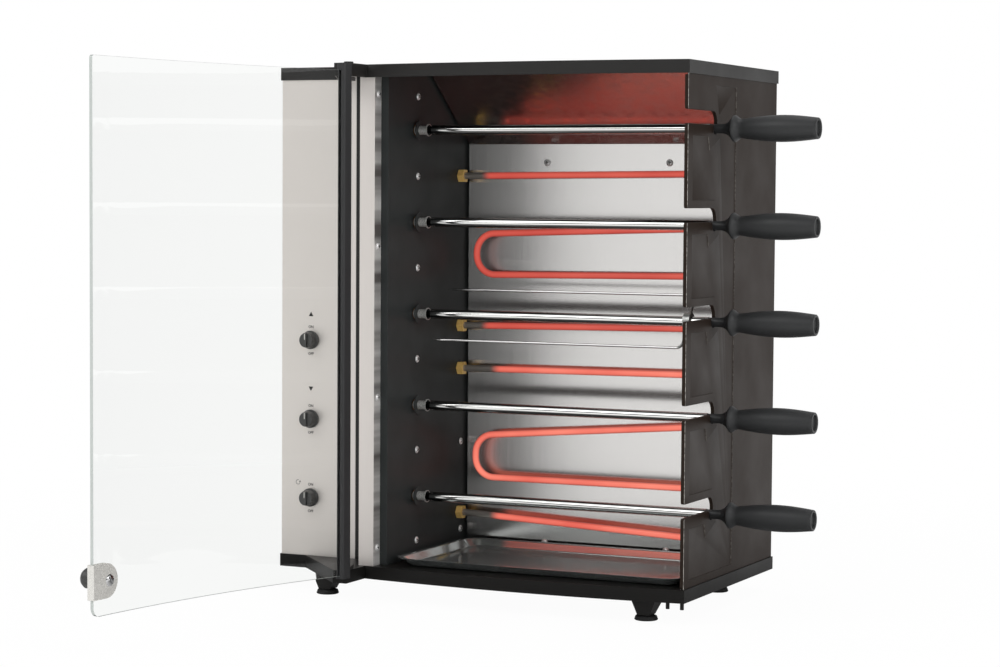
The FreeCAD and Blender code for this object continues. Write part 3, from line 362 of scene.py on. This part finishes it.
# the dark colour that bright metal shows of the rods and fork, a painted reflection
rodInMirrors = ("#3c3633", 0.85)
paint = powderCoatedSteel("powderCoatedSteel", "#242322", gloss=0.3)
sidePaint = wornPowderCoat("powderCoatedPanel", "#29211c", 0.08, highlight="#dad6d0", front=panelFront)
basePaint = powderCoatedSteel("powderCoatedBase", "#191817", gloss=0.2)
postPaint = powderCoatedSteel("powderCoatedPost", "#323233", gloss=0.3)
innerPaint = blackEnamel()
columnSteel = brushedStainless()
reflectorSteel = dullBack(brightRolledStainless(), "#575452", 0.45)
mirrorSteel = polishedMetal("polishedStainless", "#d8d6d4", 0.19)
flangeSteel = bandedFlange()
traySteel = polishedMetal("pressedStainless", "#d2d8d7", 0.12, wave=30 * mm, metal=0.85)
chromePlate = polishedMetal("chromePlatedSteel", "#d0d0d1", 0.07, chrome["wave"], chrome["height"])
rodChrome = dullBack(polishedMetal("chromePlatedRod", "#cfcecd", **chrome), *rodInMirrors)
skewerChrome = mirrorRod(dullBack(polishedMetal("chromePlatedSkewer", "#cfcecd", **chrome), *rodInMirrors),
                         tipEnd=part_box("skewer_rod_1")[0][0])
castZinc = polishedMetal("nickelPlatedCasting", "#e4e2dd", 0.25, wave=16 * mm, height=0.03 * mm, metal=0.5)
brightZinc = platedMetal("brightZincScrew", "#f8f8f7", 0.34, size=0.6 * mm, metal=0.45)
zincPlate = platedMetal("zincPlatedSteel", "#a9aaa8", 0.4)
turnedBrass = platedMetal("turnedBrass", "#ffd27c", 0.24, size=0.8 * mm, metal=0.12)
turnedSteel = platedMetal("turnedSteel", "#c9c8c5", 0.3, size=1.0 * mm, metal=0.55)
bronze = platedMetal("sinteredBronze", "#8d6a41", 0.5, size=0.5 * mm)
motorSteel = platedMetal("drawnSteel", "#7c7f84", 0.38)
gripPlastic = mouldedPlastic("mouldedPhenolic", "#252627", 0.48, shine=0.42)
knobPlastic = mouldedPlastic("mouldedNylon", "#3d3d3d", 0.4, size=0.5 * mm)
palePlastic = mouldedPlastic("mouldedPolyamide", "#d5cfc0", 0.5)
rubber = mouldedPlastic("mouldedRubber", "#151515", 0.7, size=1.2 * mm)
glass = temperedGlass()
glassRim = surface("paleGlassEdge", Base_Color=hexColour("#c6ccc9"), Roughness=0.3)[0]
glassEdge = surface("darkGlassEdge", Base_Color=hexColour("#7b807e"), Roughness=0.4)[0]
inkAndRecessShade = surface("printInkAndRecessShade", Base_Color=hexColour("#2b2927"), Roughness=0.6)[0]
paleLine = surface("palePointerLine", Base_Color=hexColour("#d9d6d0"), Roughness=0.6)[0]
print("materials made")


def addPiece(name, mesh, material, body, slot, *replaced):
    piece = bpy.data.objects.new(name, mesh)
    collection.objects.link(piece)
    if material:
        mesh.materials.clear()
        mesh.materials.append(material)
    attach(piece, body)
    if replaced:
        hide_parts(*replaced)
    return piece


def boxMiddle(nodeName):
    low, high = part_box(nodeName)
    return [(a + b) / 2 for a, b in zip(low, high)]


def toMesh(shape, name):
    mesh = bpy.data.meshes.new(name)
    shape.to_mesh(mesh)
    shape.free()
    return mesh


def outward(shape, name):
    bmesh.ops.recalc_face_normals(shape, faces=shape.faces)
    return toMesh(shape, name)


def smooth(mesh, angle):
    # smooth all over, but for edges that fold by more than this many degrees
    mesh.shade_smooth()
    mesh.set_sharp_from_angle(angle=math.radians(angle))
    return mesh


def bridge(shape, near, far):
    # a band of faces between two rings of as many points
    for n in range(len(near)):
        m = (n + 1) % len(near)
        shape.faces.new((near[n], near[m], far[m], far[n]))


def evaluated(source):
    # what its modifiers or its text make of an object, as a plain mesh
    bpy.context.view_layer.update()
    mesh = bpy.data.meshes.new_from_object(source.evaluated_get(bpy.context.evaluated_depsgraph_get()))
    bpy.data.objects.remove(source)
    return mesh


# nodes: points this near are one, faces this flat are one, and folds over the crease angle stay sharp
clean = {"near": 2e-6, "flat": 0.3, "crease": 32, "bevelSteps": 2}


def merged(nodeName):
    # a clean copy of a node's loose triangles
    shape = bmesh.new()
    shape.from_mesh(nodes[nodeName].data)
    bmesh.ops.remove_doubles(shape, verts=shape.verts, dist=clean["near"])
    bmesh.ops.dissolve_limit(shape, angle_limit=math.radians(clean["flat"]), verts=shape.verts, edges=shape.edges)
    return shape


def dress(nodeName, material, bevel=0.0):
    # the node's own shape with smooth curves and rounded edges
    mesh = smooth(toMesh(merged(nodeName), nodeName + "_skin"), clean["crease"])
    piece = addPiece(nodeName + "_skin", mesh, material, bodyOf[nodeName], slotOf[nodeName], nodeName)
    if bevel:
        edge = piece.modifiers.new("edges", "BEVEL")
        edge.width = bevel
        edge.segments = clean["bevelSteps"]
        edge.limit_method = "ANGLE"
        edge.angle_limit = math.radians(clean["crease"])
        edge.harden_normals = True
        edge.use_clamp_overlap = True
    return piece


# which finish each node has, and how much its edges are rounded
sheetEdge = 0.4 * mm
finishes = {
    "base_deck": (basePaint, 0.7 * mm), "top_cover": (paint, 0.7 * mm), "right_side_panel": (sidePaint, 0.9 * mm),
    "left_side_panel": (paint, sheetEdge), "rear_panel": (paint, sheetEdge), "column_strip": (paint, sheetEdge),
    "cavity_wall": (innerPaint, sheetEdge), "foot_brackets": (paint, sheetEdge),
    "control_panel": (columnSteel, 0.3 * mm), "cavity_trim": (columnSteel, 0.3 * mm),
    "back_reflector": (reflectorSteel, 0.3 * mm), "top_reflector": (mirrorSteel, 0.3 * mm),
    "bearing_plate": (zincPlate, 0.2 * mm), "bearing_rail": (zincPlate, 0.3 * mm),
    "motor_bracket": (zincPlate, 0.2 * mm), "hinge_arms": (paint, 0.4 * mm), "hinge_pins": (paint, 0.4 * mm),
    "door_post": (postPaint, 0.0), "drive_pinion": (zincPlate, 0.0), "meat_fork": (rodChrome, 0.0),
    "fork_thumbscrew": (chromePlate, 0.4 * mm), "latch_clamp": (castZinc, 1.1 * mm),
    "latch_screw": (chromePlate, 0.2 * mm), "latch_knob": (knobPlastic, 0.0), "element_glands": (turnedBrass, 0.4 * mm),
    "spindle_bushes": (bronze, 0.2 * mm), "gearmotor": (motorSteel, 0.8 * mm), "cable_gland": (knobPlastic, 0.4 * mm),
    "rotary_switches": (knobPlastic, 0.5 * mm), "terminal_block": (palePlastic, 0.5 * mm),
    "foot_pads": (rubber, 0.4 * mm), "door_glass": (glass, 0.6 * mm), "black_screws": (paint, 0.3 * mm),
}
for count in range(1, 6):
    finishes["spindle_" + str(count)] = (turnedSteel, 0.2 * mm)
    finishes["spindle_gear_" + str(count)] = (zincPlate, 0.0)
    finishes["skewer_rod_" + str(count)] = (skewerChrome, 0.0)
skins = {nodeName: dress(nodeName, material, bevel) for nodeName, (material, bevel) in finishes.items()}


def refinish(nodeName, material, chosen):
    # a second finish on the faces that chosen() picks by their middle, normal and corners
    mesh = skins[nodeName].data
    mesh.materials.append(material)
    for face in mesh.polygons:
        if chosen(face.center, face.normal, [mesh.vertices[n].co for n in face.vertices]):
            face.material_index = len(mesh.materials) - 1


# sockets: black inside, where faces look at the axis, as painted shade in the hollow, and a black fat disc, which is
# all that is wider than this
spitSocket = {"disc": 9 * mm, "inward": -0.1}
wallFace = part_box("cavity_wall")[1][0]
for count in range(1, 6):
    nodeName = "spindle_" + str(count)
    axisY, axisZ = boxMiddle(nodeName)[1:]

    def isBlack(middle, normal, corners):
        away = Vector((0, middle.y - axisY, middle.z - axisZ))
        widest = max(math.hypot(p.y - axisY, p.z - axisZ) for p in corners)
        inside = away.dot(normal) < spitSocket["inward"] * away.length
        return middle.x > wallFace and (widest > spitSocket["disc"] or inside)

    refinish(nodeName, innerPaint, isBlack)

# the fork's collar is zinc, and the trim's right-hand flange takes the bands of painted reflection
second = {"collar": 9 * mm, "straight": 0.9, "glassFace": 0.7, "glassEnd": 0.7}
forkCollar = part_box("meat_fork")[1][0] - second["collar"]
refinish("meat_fork", zincPlate, lambda middle, normal, corners: middle.x > forkCollar)
refinish("cavity_trim", flangeSteel, lambda middle, normal, corners: normal.x > second["straight"])
# glass: a pale rim, with darker ends and darker rounded edges
refinish("door_glass", glassRim, lambda middle, normal, corners: abs(normal.x) < second["glassFace"])
refinish("door_glass", glassEdge, lambda middle, normal, corners: abs(normal.z) > second["glassEnd"])
skins["door_glass"].modifiers["edges"].material = skins["door_glass"].data.materials.find("darkGlassEdge")
print("nodes dressed")

# elements: grey as far as their hot part, which starts a little way from each gland; two glands are further apart
glandsApart = 20 * mm
glandShape = merged("element_glands")
glandPlaces = []
for vert in sorted(glandShape.verts, key=lambda vert: -vert.co.x):
    if all(abs(vert.co.z - place[2]) > glandsApart for place in glandPlaces):
        glandPlaces.append((wallFace, vert.co.y, vert.co.z))
glandShape.free()
for nodeName in ("upper_element", "lower_element"):
    dress(nodeName, glowingTube(nodeName + "_oxidisedTube", glandPlaces, glow[nodeName]))
print("elements made")

# turned shapes: (distance, radius) pairs round an axis
lathe = {"segments": 64, "crease": 40}


def turnedMesh(name, profile, start, axis):
    shape = bmesh.new()
    side = axis.orthogonal().normalized()
    other = axis.cross(side)
    segments = lathe["segments"]
    turns = [2 * math.pi * n / segments for n in range(segments)]
    rings = []
    for along, radius in profile:
        middle = start + axis * along
        if radius == 0:
            rings.append([shape.verts.new(middle)])
            continue
        rings.append([shape.verts.new(middle + side * radius * math.cos(t) + other * radius * math.sin(t))
                      for t in turns])
    for near, far in zip(rings, rings[1:]):
        for n in range(segments):
            # a ring of one point makes a triangle
            corners = [near[n % len(near)], near[(n + 1) % len(near)], far[(n + 1) % len(far)], far[n % len(far)]]
            shape.faces.new(list(dict.fromkeys(corners)))
    return smooth(outward(shape, name), lathe["crease"])


# grip: neck, flared guard, waist, belly and a hollow end; (mm from the rod's shoulder, mm radius)
grip = {
    "neck": [(0, 0), (0, 5.3), (14.5, 5.3)],
    "guard": [(18.5, 6.2), (22, 8.4), (25, 11.4), (26.9, 14.0), (27.9, 15.0), (29.1, 15.1), (30.3, 14.6),
              (31.7, 13.6), (33.5, 12.2), (35.5, 11.2), (37.1, 10.8)],
    "waistAt": 37.1, "waist": 10.8, "bellyAt": 85.0, "belly": 15.1, "endAt": 126.5, "end": 11.9, "steps": 24,
    "hollow": [(127.0, 11.4), (127.0, 9.4), (126.5, 9.0), (124.1, 8.6), (123.9, 8.0), (123.9, 0)],
}


def swelling(at, start, end, low, high):
    return low + (high - low) * math.sin((at - start) / (end - start) * math.pi / 2)


gripProfile = grip["neck"] + grip["guard"]
for step in range(1, grip["steps"] + 1):
    at = grip["waistAt"] + (grip["endAt"] - grip["waistAt"]) * step / grip["steps"]
    if at < grip["bellyAt"]:
        gripProfile.append((at, swelling(at, grip["waistAt"], grip["bellyAt"], grip["waist"], grip["belly"])))
    else:
        gripProfile.append((at, swelling(at, grip["endAt"], grip["bellyAt"], grip["end"], grip["belly"])))
gripProfile = [(along * mm, radius * mm) for along, radius in gripProfile + grip["hollow"]]
for count in range(1, 6):
    nodeName = "skewer_grip_" + str(count)
    start = Vector((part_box(nodeName)[0][0], *boxMiddle(nodeName)[1:]))
    mesh = turnedMesh(nodeName + "_turned", gripProfile, start, Vector((1, 0, 0)))
    addPiece(nodeName + "_turned", mesh, gripPlastic, bodyOf[nodeName], slotOf[nodeName], nodeName)
print("grips made")

# drip tray: a pressed pan with a flat rolled rim; (mm inset, mm height, mm corner) from the rim inwards
tray = {
    "inside": [(0.9, 9.3, 25.5), (0.3, 9.7, 26), (1.5, 9.7, 24.5), (5.2, 9.6, 21.5), (6.4, 9.1, 20.6), (7.2, 8.2, 20),
               (12.5, 2.6, 16), (14.2, 1.3, 14.6), (16.4, 0.8, 13.2), (24, 0.8, 9)],
    "outside": [(24, 0.0, 9), (16, 0.0, 13.6), (13.6, 0.6, 15.2), (12, 1.9, 16.6), (6.7, 7.5, 20.6), (5.8, 8.6, 21.2),
                (1.2, 8.8, 25), (0.9, 9.3, 25.5)],
    "cornerSteps": 10, "crease": 50,
}


def trayRing(shape, low, high, inset, height, corner):
    x0, x1, y0, y1 = low[0] + inset, high[0] - inset, low[1] + inset, high[1] - inset
    centres = [(x1 - corner, y0 + corner, -90), (x1 - corner, y1 - corner, 0),
               (x0 + corner, y1 - corner, 90), (x0 + corner, y0 + corner, 180)]
    ring = []
    for x, y, first in centres:
        for n in range(tray["cornerSteps"] + 1):
            t = math.radians(first + 90 * n / tray["cornerSteps"])
            ring.append(shape.verts.new((x + corner * math.cos(t), y + corner * math.sin(t), low[2] + height)))
    return ring


def makeTray():
    low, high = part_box("drip_tray")
    shape = bmesh.new()
    rings = [trayRing(shape, low, high, *(v * mm for v in row)) for row in tray["inside"] + tray["outside"]]
    # from the pan's middle up to the rim, and back under it
    half = len(tray["inside"])
    order = rings[:half][::-1] + rings[half:][::-1]
    for near, far in zip(order, order[1:]):
        bridge(shape, near, far)
    shape.faces.new(order[0])
    shape.faces.new(order[-1])
    bmesh.ops.remove_doubles(shape, verts=shape.verts, dist=clean["near"])
    mesh = smooth(outward(shape, "dripTray"), tray["crease"])
    addPiece("drip_tray_pressed", mesh, traySteel, "tray", slotOf["drip_tray"], "drip_tray")


makeTray()
print("tray made")

# cross-head screws, one tree for every place a screw of the node has
screwSizes = {"Head Radius": 4.4 * mm, "Head Height": 2.4 * mm, "Recess Width": 1.2 * mm, "Seed": 4}
# the ball's facets, the recess's reach in head radii and lift in head heights, and the block that cuts the ball in
# half: its size, and its middle below the seat in head heights; the seat lies at the rim, which starts at this share
# of the widest radius
screwCut = {"segments": 28, "rings": 14, "reach": 1.05, "lift": 0.95, "block": (3, 3, 3), "under": -1.5, "crease": 35,
            "rimFrom": 0.97}


def screwPlaces(nodeName):
    # a seat and a direction for each loose body of the node
    shape = merged(nodeName)
    left = set(shape.verts)
    places = []
    while left:
        island, queue = [], [left.pop()]
        while queue:
            vert = queue.pop()
            island.append(vert.co.copy())
            for edge in vert.link_edges:
                far = edge.other_vert(vert)
                if far in left:
                    left.discard(far)
                    queue.append(far)
        low = Vector([min(p[k] for p in island) for k in range(3)])
        high = Vector([max(p[k] for p in island) for k in range(3)])
        middle = (low + high) / 2
        size = high - low
        # the two equal sides are the head's width, the third is the screw's length
        axis = min(range(3), key=lambda k: abs(size[(k + 1) % 3] - size[(k + 2) % 3]))
        radii = [Vector([0 if k == axis else p[k] - middle[k] for k in range(3)]).length for p in island]
        seats = [p[axis] for p, radius in zip(island, radii) if radius > max(radii) * screwCut["rimFrom"]]
        facing = Vector([0, 0, 0])
        facing[axis] = 1 if sum(seats) / len(seats) > middle[axis] else -1
        seat = middle.copy()
        seat[axis] = min(seats) if facing[axis] > 0 else max(seats)
        places.append((seat, facing))
    shape.free()
    return sorted(places, key=lambda place: tuple(place[0]))


def shaped(tree, source, **changes):
    return addNode(tree, "GeometryNodeTransform", {"Geometry": source, **changes}).outputs["Geometry"]


def cube(tree, size):
    return addNode(tree, "GeometryNodeMeshCube", {"Size": size}).outputs["Mesh"]


def painted(tree, source, material):
    return addNode(tree, "GeometryNodeSetMaterial", {"Geometry": source, "Material": material}).outputs["Geometry"]


def vectorOf(tree, **lengths):
    return addNode(tree, "ShaderNodeCombineXYZ", lengths).outputs["Vector"]


def screwTree():
    tree = bpy.data.node_groups.new("crossHeadScrews", "GeometryNodeTree")
    kinds = {"Geometry": "Geometry", "Head Radius": "Float", "Head Height": "Float", "Recess Width": "Float",
             "Seed": "Int", "Material": "Material", "Recess Material": "Material"}
    for name, kind in kinds.items():
        tree.interface.new_socket(name, in_out="INPUT", socket_type="NodeSocket" + kind)
    tree.interface.new_socket("Geometry", in_out="OUTPUT", socket_type="NodeSocketGeometry")
    source = addNode(tree, "NodeGroupInput").outputs
    radius, height, width = source["Head Radius"], source["Head Height"], source["Recess Width"]
    # a flattened ball, less two bars across its top and all that lies under the seat
    ball = addNode(tree, "GeometryNodeMeshUVSphere", {"Segments": screwCut["segments"], "Rings": screwCut["rings"],
                                                      "Radius": 1.0})
    squash = vectorOf(tree, X=radius, Y=radius, Z=height)
    dome = shaped(tree, ball.outputs["Mesh"], Scale=squash)
    reach = combined(tree, "MULTIPLY", radius, screwCut["reach"])
    bar = cube(tree, vectorOf(tree, X=reach, Y=width, Z=height))
    barPlace = vectorOf(tree, Z=combined(tree, "MULTIPLY", height, screwCut["lift"]))
    blockSize = addNode(tree, "ShaderNodeVectorMath", {0: squash, 1: screwCut["block"]}, operation="MULTIPLY")
    blockPlace = vectorOf(tree, Z=combined(tree, "MULTIPLY", height, screwCut["under"]))
    cutters = (shaped(tree, bar, Translation=barPlace),
               shaped(tree, bar, Translation=barPlace, Rotation=(0, 0, math.pi / 2)),
               shaped(tree, cube(tree, blockSize.outputs["Vector"]), Translation=blockPlace))
    # the cut faces of the recess take the recess material, a painted shade
    head = addNode(tree, "GeometryNodeMeshBoolean", {"Mesh 1": painted(tree, dome, source["Material"])},
                   operation="DIFFERENCE")
    for cutter in cutters:
        tree.links.new(painted(tree, cutter, source["Recess Material"]), head.inputs["Mesh 2"])
    # each head faces its own way and has its own turn
    facing = addNode(tree, "GeometryNodeInputNamedAttribute", {"Name": "facing"}, data_type="FLOAT_VECTOR")
    aim = addNode(tree, "FunctionNodeAlignRotationToVector", {"Vector": facing.outputs["Attribute"]}, axis="Z")
    chance = addNode(tree, "FunctionNodeRandomValue", {"Seed": source["Seed"], 2: 0.0, 3: math.pi / 2},
                     data_type="FLOAT")
    spin = addNode(tree, "FunctionNodeAxisAngleToRotation", {"Axis": (0, 0, 1), "Angle": chance.outputs[1]})
    turn = addNode(tree, "FunctionNodeRotateRotation", {"Rotation": aim.outputs["Rotation"],
                                                        "Rotate By": spin.outputs["Rotation"]},
                   rotation_space="LOCAL")
    copies = addNode(tree, "GeometryNodeInstanceOnPoints", {"Points": source["Geometry"],
                                                            "Instance": head.outputs["Mesh"],
                                                            "Rotation": turn.outputs["Rotation"]})
    real = addNode(tree, "GeometryNodeRealizeInstances", {"Geometry": copies.outputs["Instances"]})
    addNode(tree, "NodeGroupOutput", {"Geometry": real.outputs["Geometry"]})
    return tree


def makeScrews():
    tree = screwTree()
    places = screwPlaces("bright_screws")
    points = bpy.data.meshes.new("screwPoints")
    points.from_pydata([seat for seat, facing in places], [], [])
    facings = points.attributes.new("facing", "FLOAT_VECTOR", "POINT")
    for n, (seat, facing) in enumerate(places):
        facings.data[n].vector = facing
    carrier = bpy.data.objects.new("screwPoints", points)
    collection.objects.link(carrier)
    modifier = carrier.modifiers.new("nodes", "NODES")
    modifier.node_group = tree
    # the recesses take the dark ink, as painted shade in them
    values = {**screwSizes, "Material": brightZinc, "Recess Material": inkAndRecessShade}
    for item in tree.interface.items_tree:
        if item.in_out == "INPUT" and item.name in values:
            modifier[item.identifier] = values[item.name]
    mesh = smooth(evaluated(carrier), screwCut["crease"])
    mesh.name = "crossHeadScrews"
    addPiece("bright_screws_crossHead", mesh, None, "case", slotOf["bright_screws"], "bright_screws")


makeScrews()
print("screws made")

# printed marks beside the knobs: ON and OFF, a triangle that points up or down, and a turning arrow for the motor.
# "triangle" is half its width and height in arrow sizes; the ring runs on from its first angle; its tip starts at a
# share of the radius, and is as wide to either side, as low and as high as given
marks = {"thickness": 0.08 * mm, "bold": 0.1 * mm, "letterHeight": 4.4 * mm, "onAbove": 14.2 * mm,
         "offBelow": 18.0 * mm, "arrow": 5.4 * mm, "triangle": (0.6, 0.5), "arrowAbove": (31 * mm, 36 * mm),
         "ringRadius": 3.0 * mm, "ringWidth": 0.55 * mm, "ringPlace": (-17.5 * mm, 17.7 * mm),
         "ringStart": 70, "ringSweep": 290, "ringSteps": 24,
         "tipAt": 0.9, "tipSide": 1.3 * mm, "tipLow": 0.2 * mm, "tipHigh": 2.2 * mm}
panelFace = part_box("control_panel")[0][1]
knobNodes = ("upper_element_knob", "lower_element_knob", "motor_knob")


def onPanel(x, z, points, name):
    # a flat outline on the panel's face, given a little thickness
    shape = bmesh.new()
    front = [shape.verts.new((x + px, panelFace - marks["thickness"], z + pz)) for px, pz in points]
    back = [shape.verts.new((x + px, panelFace, z + pz)) for px, pz in points]
    shape.faces.new(front)
    shape.faces.new(back)
    bridge(shape, front, back)
    addPiece(name, outward(shape, name), inkAndRecessShade, "case", slotOf["control_panel"])


def word(text, x, z, name):
    curve = bpy.data.curves.new(name, "FONT")
    curve.body = text
    curve.size = marks["letterHeight"]
    curve.align_x = "CENTER"
    curve.extrude = marks["thickness"] / 2
    curve.offset = marks["bold"]
    source = bpy.data.objects.new(name + "Curve", curve)
    collection.objects.link(source)
    mesh = evaluated(source)
    middle = Matrix.Translation((x, panelFace - marks["thickness"] / 2, z))
    mesh.transform(middle @ Matrix.Rotation(math.pi / 2, 4, "X"))
    addPiece(name, mesh, inkAndRecessShade, "case", slotOf["control_panel"])


def triangle(x, z, n, way):
    side, half = [share * marks["arrow"] for share in marks["triangle"]]
    onPanel(x, z + marks["arrowAbove"][n], [(-side, -way * half), (side, -way * half), (0, way * half)],
            "mark_arrow_" + str(n))


def turningArrow(x, z):
    outer, steps = marks["ringRadius"], marks["ringSteps"]
    inner = outer - marks["ringWidth"]
    turns = [math.radians(marks["ringStart"] + marks["ringSweep"] * k / steps) for k in range(steps + 1)]
    arc = [(outer * math.cos(t), outer * math.sin(t)) for t in turns]
    arc += [(inner * math.cos(t), inner * math.sin(t)) for t in reversed(turns)]
    onPanel(x, z, arc, "mark_turn")
    tip, side, low = outer * marks["tipAt"], marks["tipSide"], marks["tipLow"]
    onPanel(x, z, [(tip - side, low), (tip + side, low), (tip, marks["tipHigh"])], "mark_turn_tip")


def makeMarks():
    for n, nodeName in enumerate(knobNodes):
        x, _, z = boxMiddle(nodeName)
        word("ON", x, z + marks["onAbove"], "mark_on_" + str(n))
        word("OFF", x, z - marks["offBelow"], "mark_off_" + str(n))
        if nodeName == "motor_knob":
            turningArrow(x + marks["ringPlace"][0], z + marks["ringPlace"][1])
        else:
            triangle(x, z, n, 1 if nodeName == "upper_element_knob" else -1)


makeMarks()

# knobs: the node's shape with a softened rim, and a pale line on each pointer
pointerLine = {"width": 1.0 * mm, "length": 7.0 * mm, "height": 0.15 * mm, "middle": 0.62, "bevel": 0.06 * mm}
for nodeName in knobNodes:
    dress(nodeName, knobPlastic, 0.5 * mm)
    x, _, z = boxMiddle(nodeName)
    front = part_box(nodeName)[0][1]
    shape = bmesh.new()
    bmesh.ops.create_cube(shape, size=1.0)
    bmesh.ops.scale(shape, vec=(pointerLine["width"], pointerLine["height"], pointerLine["length"]), verts=shape.verts)
    bmesh.ops.translate(shape, vec=(x, front, z + pointerLine["length"] * pointerLine["middle"]), verts=shape.verts)
    bmesh.ops.bevel(shape, geom=shape.edges, offset=pointerLine["bevel"], segments=1, affect="EDGES")
    addPiece(nodeName + "_line", toMesh(shape, nodeName + "_line"), paleLine, bodyOf[nodeName], slotOf[nodeName])
print("panel made")

# floor and light: white surroundings, with soft lamps above the left and the right
studio = {
    "floorColour": "#f2f2f1", "floorSize": 30.0, "worldLight": 0.75,
    # the seen floor is this white near the grill, and plain white from the second distance on
    "floorLift": 0.965, "fadeFrom": 0.7, "fadeTo": 1.5,
    # the floor in bright metal: level at the first distance, and the distances between which it rises to 1
    "nearInMetal": {"level": 0.2, "from": 0.35, "to": 0.75},
    # what bright metal shows of the room: height of the direction, and light there
    "room": [(0.0, 1.0), (0.06, 1.0), (0.08, 0.12), (0.31, 0.12), (0.36, 1.0), (0.64, 1.0), (0.71, 0.1), (1.0, 0.1)],
    "lamps": [
        {"name": "keyLamp", "place": (-1.3, -2.2, 2.6), "size": 1.8, "power": 26, "aim": (0, 0, 0.3)},
        {"name": "sideLamp", "place": (2.6, -0.6, 1.6), "size": 1.6, "power": 18, "aim": (0, 0, 0.3)},
        {"name": "lowSideLamp", "place": (2.3, -1.3, 0.5), "size": 1.2, "power": 3.5, "aim": (0.2, 0, 0.3)},
        {"name": "topLamp", "place": (0.2, 0.3, 2.6), "size": 1.6, "power": 12, "aim": (0, 0, 0.3)},
    ],
}
plainWhite = (1, 1, 1, 1)


def makeFloor():
    # pale and dull to the lamps; where it is seen it fades to plain white away from the grill
    material, tree, shader = surface("studioFloor", Base_Color=hexColour(studio["floorColour"]), Roughness=0.9,
                                     Specular_IOR_Level=0.0)
    away = addNode(tree, "ShaderNodeVectorMath", {0: coordinate(tree)}, operation="LENGTH").outputs["Value"]
    lift = ranged(tree, away, studio["fadeFrom"], studio["fadeTo"], studio["floorLift"], 1.0, "SMOOTHSTEP")
    # bright metal shows the nearest part of the floor dark, as it lies in the grill's shade
    shade = studio["nearInMetal"]
    near = ranged(tree, away, shade["from"], shade["to"], shade["level"], 1.0)
    mirrored = addNode(tree, "ShaderNodeMath", {0: raysOf(tree, "Is Glossy Ray"),
                                                1: raysOf(tree, "Is Camera Ray", "Is Transmission Ray")},
                       operation="SUBTRACT", use_clamp=True).outputs[0]
    level = addNode(tree, "ShaderNodeMix", {0: mirrored, 2: 1.0, 3: near}, data_type="FLOAT").outputs[0]
    white = addNode(tree, "ShaderNodeEmission", {"Color": plainWhite, "Strength": level}).outputs[0]
    seen = raysOf(tree, "Is Camera Ray", "Is Glossy Ray", "Is Transmission Ray")
    lifted = shaderMix(tree, lift, shader.outputs[0], white)
    feed(tree, tree.nodes["Material Output"], Surface=shaderMix(tree, seen, shader.outputs[0], lifted))
    mesh = bpy.data.meshes.new("floor")
    half = studio["floorSize"] / 2
    mesh.from_pydata([(-half, -half, 0), (half, -half, 0), (half, half, 0), (-half, half, 0)], [], [(0, 1, 2, 3)])
    mesh.materials.append(material)
    floor = bpy.data.objects.new("floor", mesh)
    collection.objects.link(floor)


def makeWorld():
    # white to the eye, bands of light and dark to bright metal, and an even light to all else
    world = bpy.data.worlds.new("studio")
    bpy.context.scene.world = world
    world.use_nodes = True
    tree = world.node_tree
    light = tree.nodes["Background"]
    light.inputs["Color"].default_value = plainWhite
    light.inputs["Strength"].default_value = studio["worldLight"]
    height = parts(tree, coordinate(tree, "Generated"))["Z"]
    bands = ramp(tree, height, [(at, (level, level, level, 1)) for at, level in studio["room"]])
    room = addNode(tree, "ShaderNodeBackground", {"Color": bands, "Strength": 1.0})
    white = addNode(tree, "ShaderNodeBackground", {"Color": plainWhite, "Strength": 1.0})
    inner = shaderMix(tree, raysOf(tree, "Is Glossy Ray"), light.outputs[0], room.outputs[0])
    outer = shaderMix(tree, raysOf(tree, "Is Camera Ray", "Is Transmission Ray"), inner, white.outputs[0])
    feed(tree, tree.nodes["World Output"], Surface=outer)


def makeLamps():
    for lamp in studio["lamps"]:
        data = bpy.data.lights.new(lamp["name"], "AREA")
        data.shape = "SQUARE"
        data.size = lamp["size"]
        data.energy = lamp["power"]
        thing = bpy.data.objects.new(lamp["name"], data)
        place = Vector(lamp["place"])
        turn = (place - Vector(lamp["aim"])).to_track_quat("Z", "Y").to_matrix().to_4x4()
        thing.matrix_world = Matrix.Translation(place) @ turn
        collection.objects.link(thing)


# camera: metres, millimetres of lens and sensor, degrees; azimuth is counted from the front towards the right
shot = {"place": (1.2569, -2.7479, 0.4783), "azimuth": 25.153, "elevation": 3.186, "roll": 0.378, "lens": 91.47,
        "sensor": 36, "farthest": 60}


def makeCamera():
    az, el = math.radians(shot["azimuth"]), math.radians(shot["elevation"])
    back = Vector((math.sin(az) * math.cos(el), -math.cos(az) * math.cos(el), math.sin(el)))
    right = Vector((math.cos(az), math.sin(az), 0))
    axes = Matrix((right, back.cross(right), back)).transposed().to_4x4()
    data = bpy.data.cameras.new("camera")
    data.sensor_width = shot["sensor"]
    data.lens = shot["lens"]
    data.clip_end = shot["farthest"]
    camera = bpy.data.objects.new("camera", data)
    roll = Matrix.Rotation(math.radians(shot["roll"]), 4, "Z")
    camera.matrix_world = Matrix.Translation(shot["place"]) @ axes @ roll
    collection.objects.link(camera)
    bpy.context.scene.camera = camera


makeFloor()
makeWorld()
makeLamps()
makeCamera()
bpy.context.scene.view_settings.view_transform = "Standard"
print("studio made")
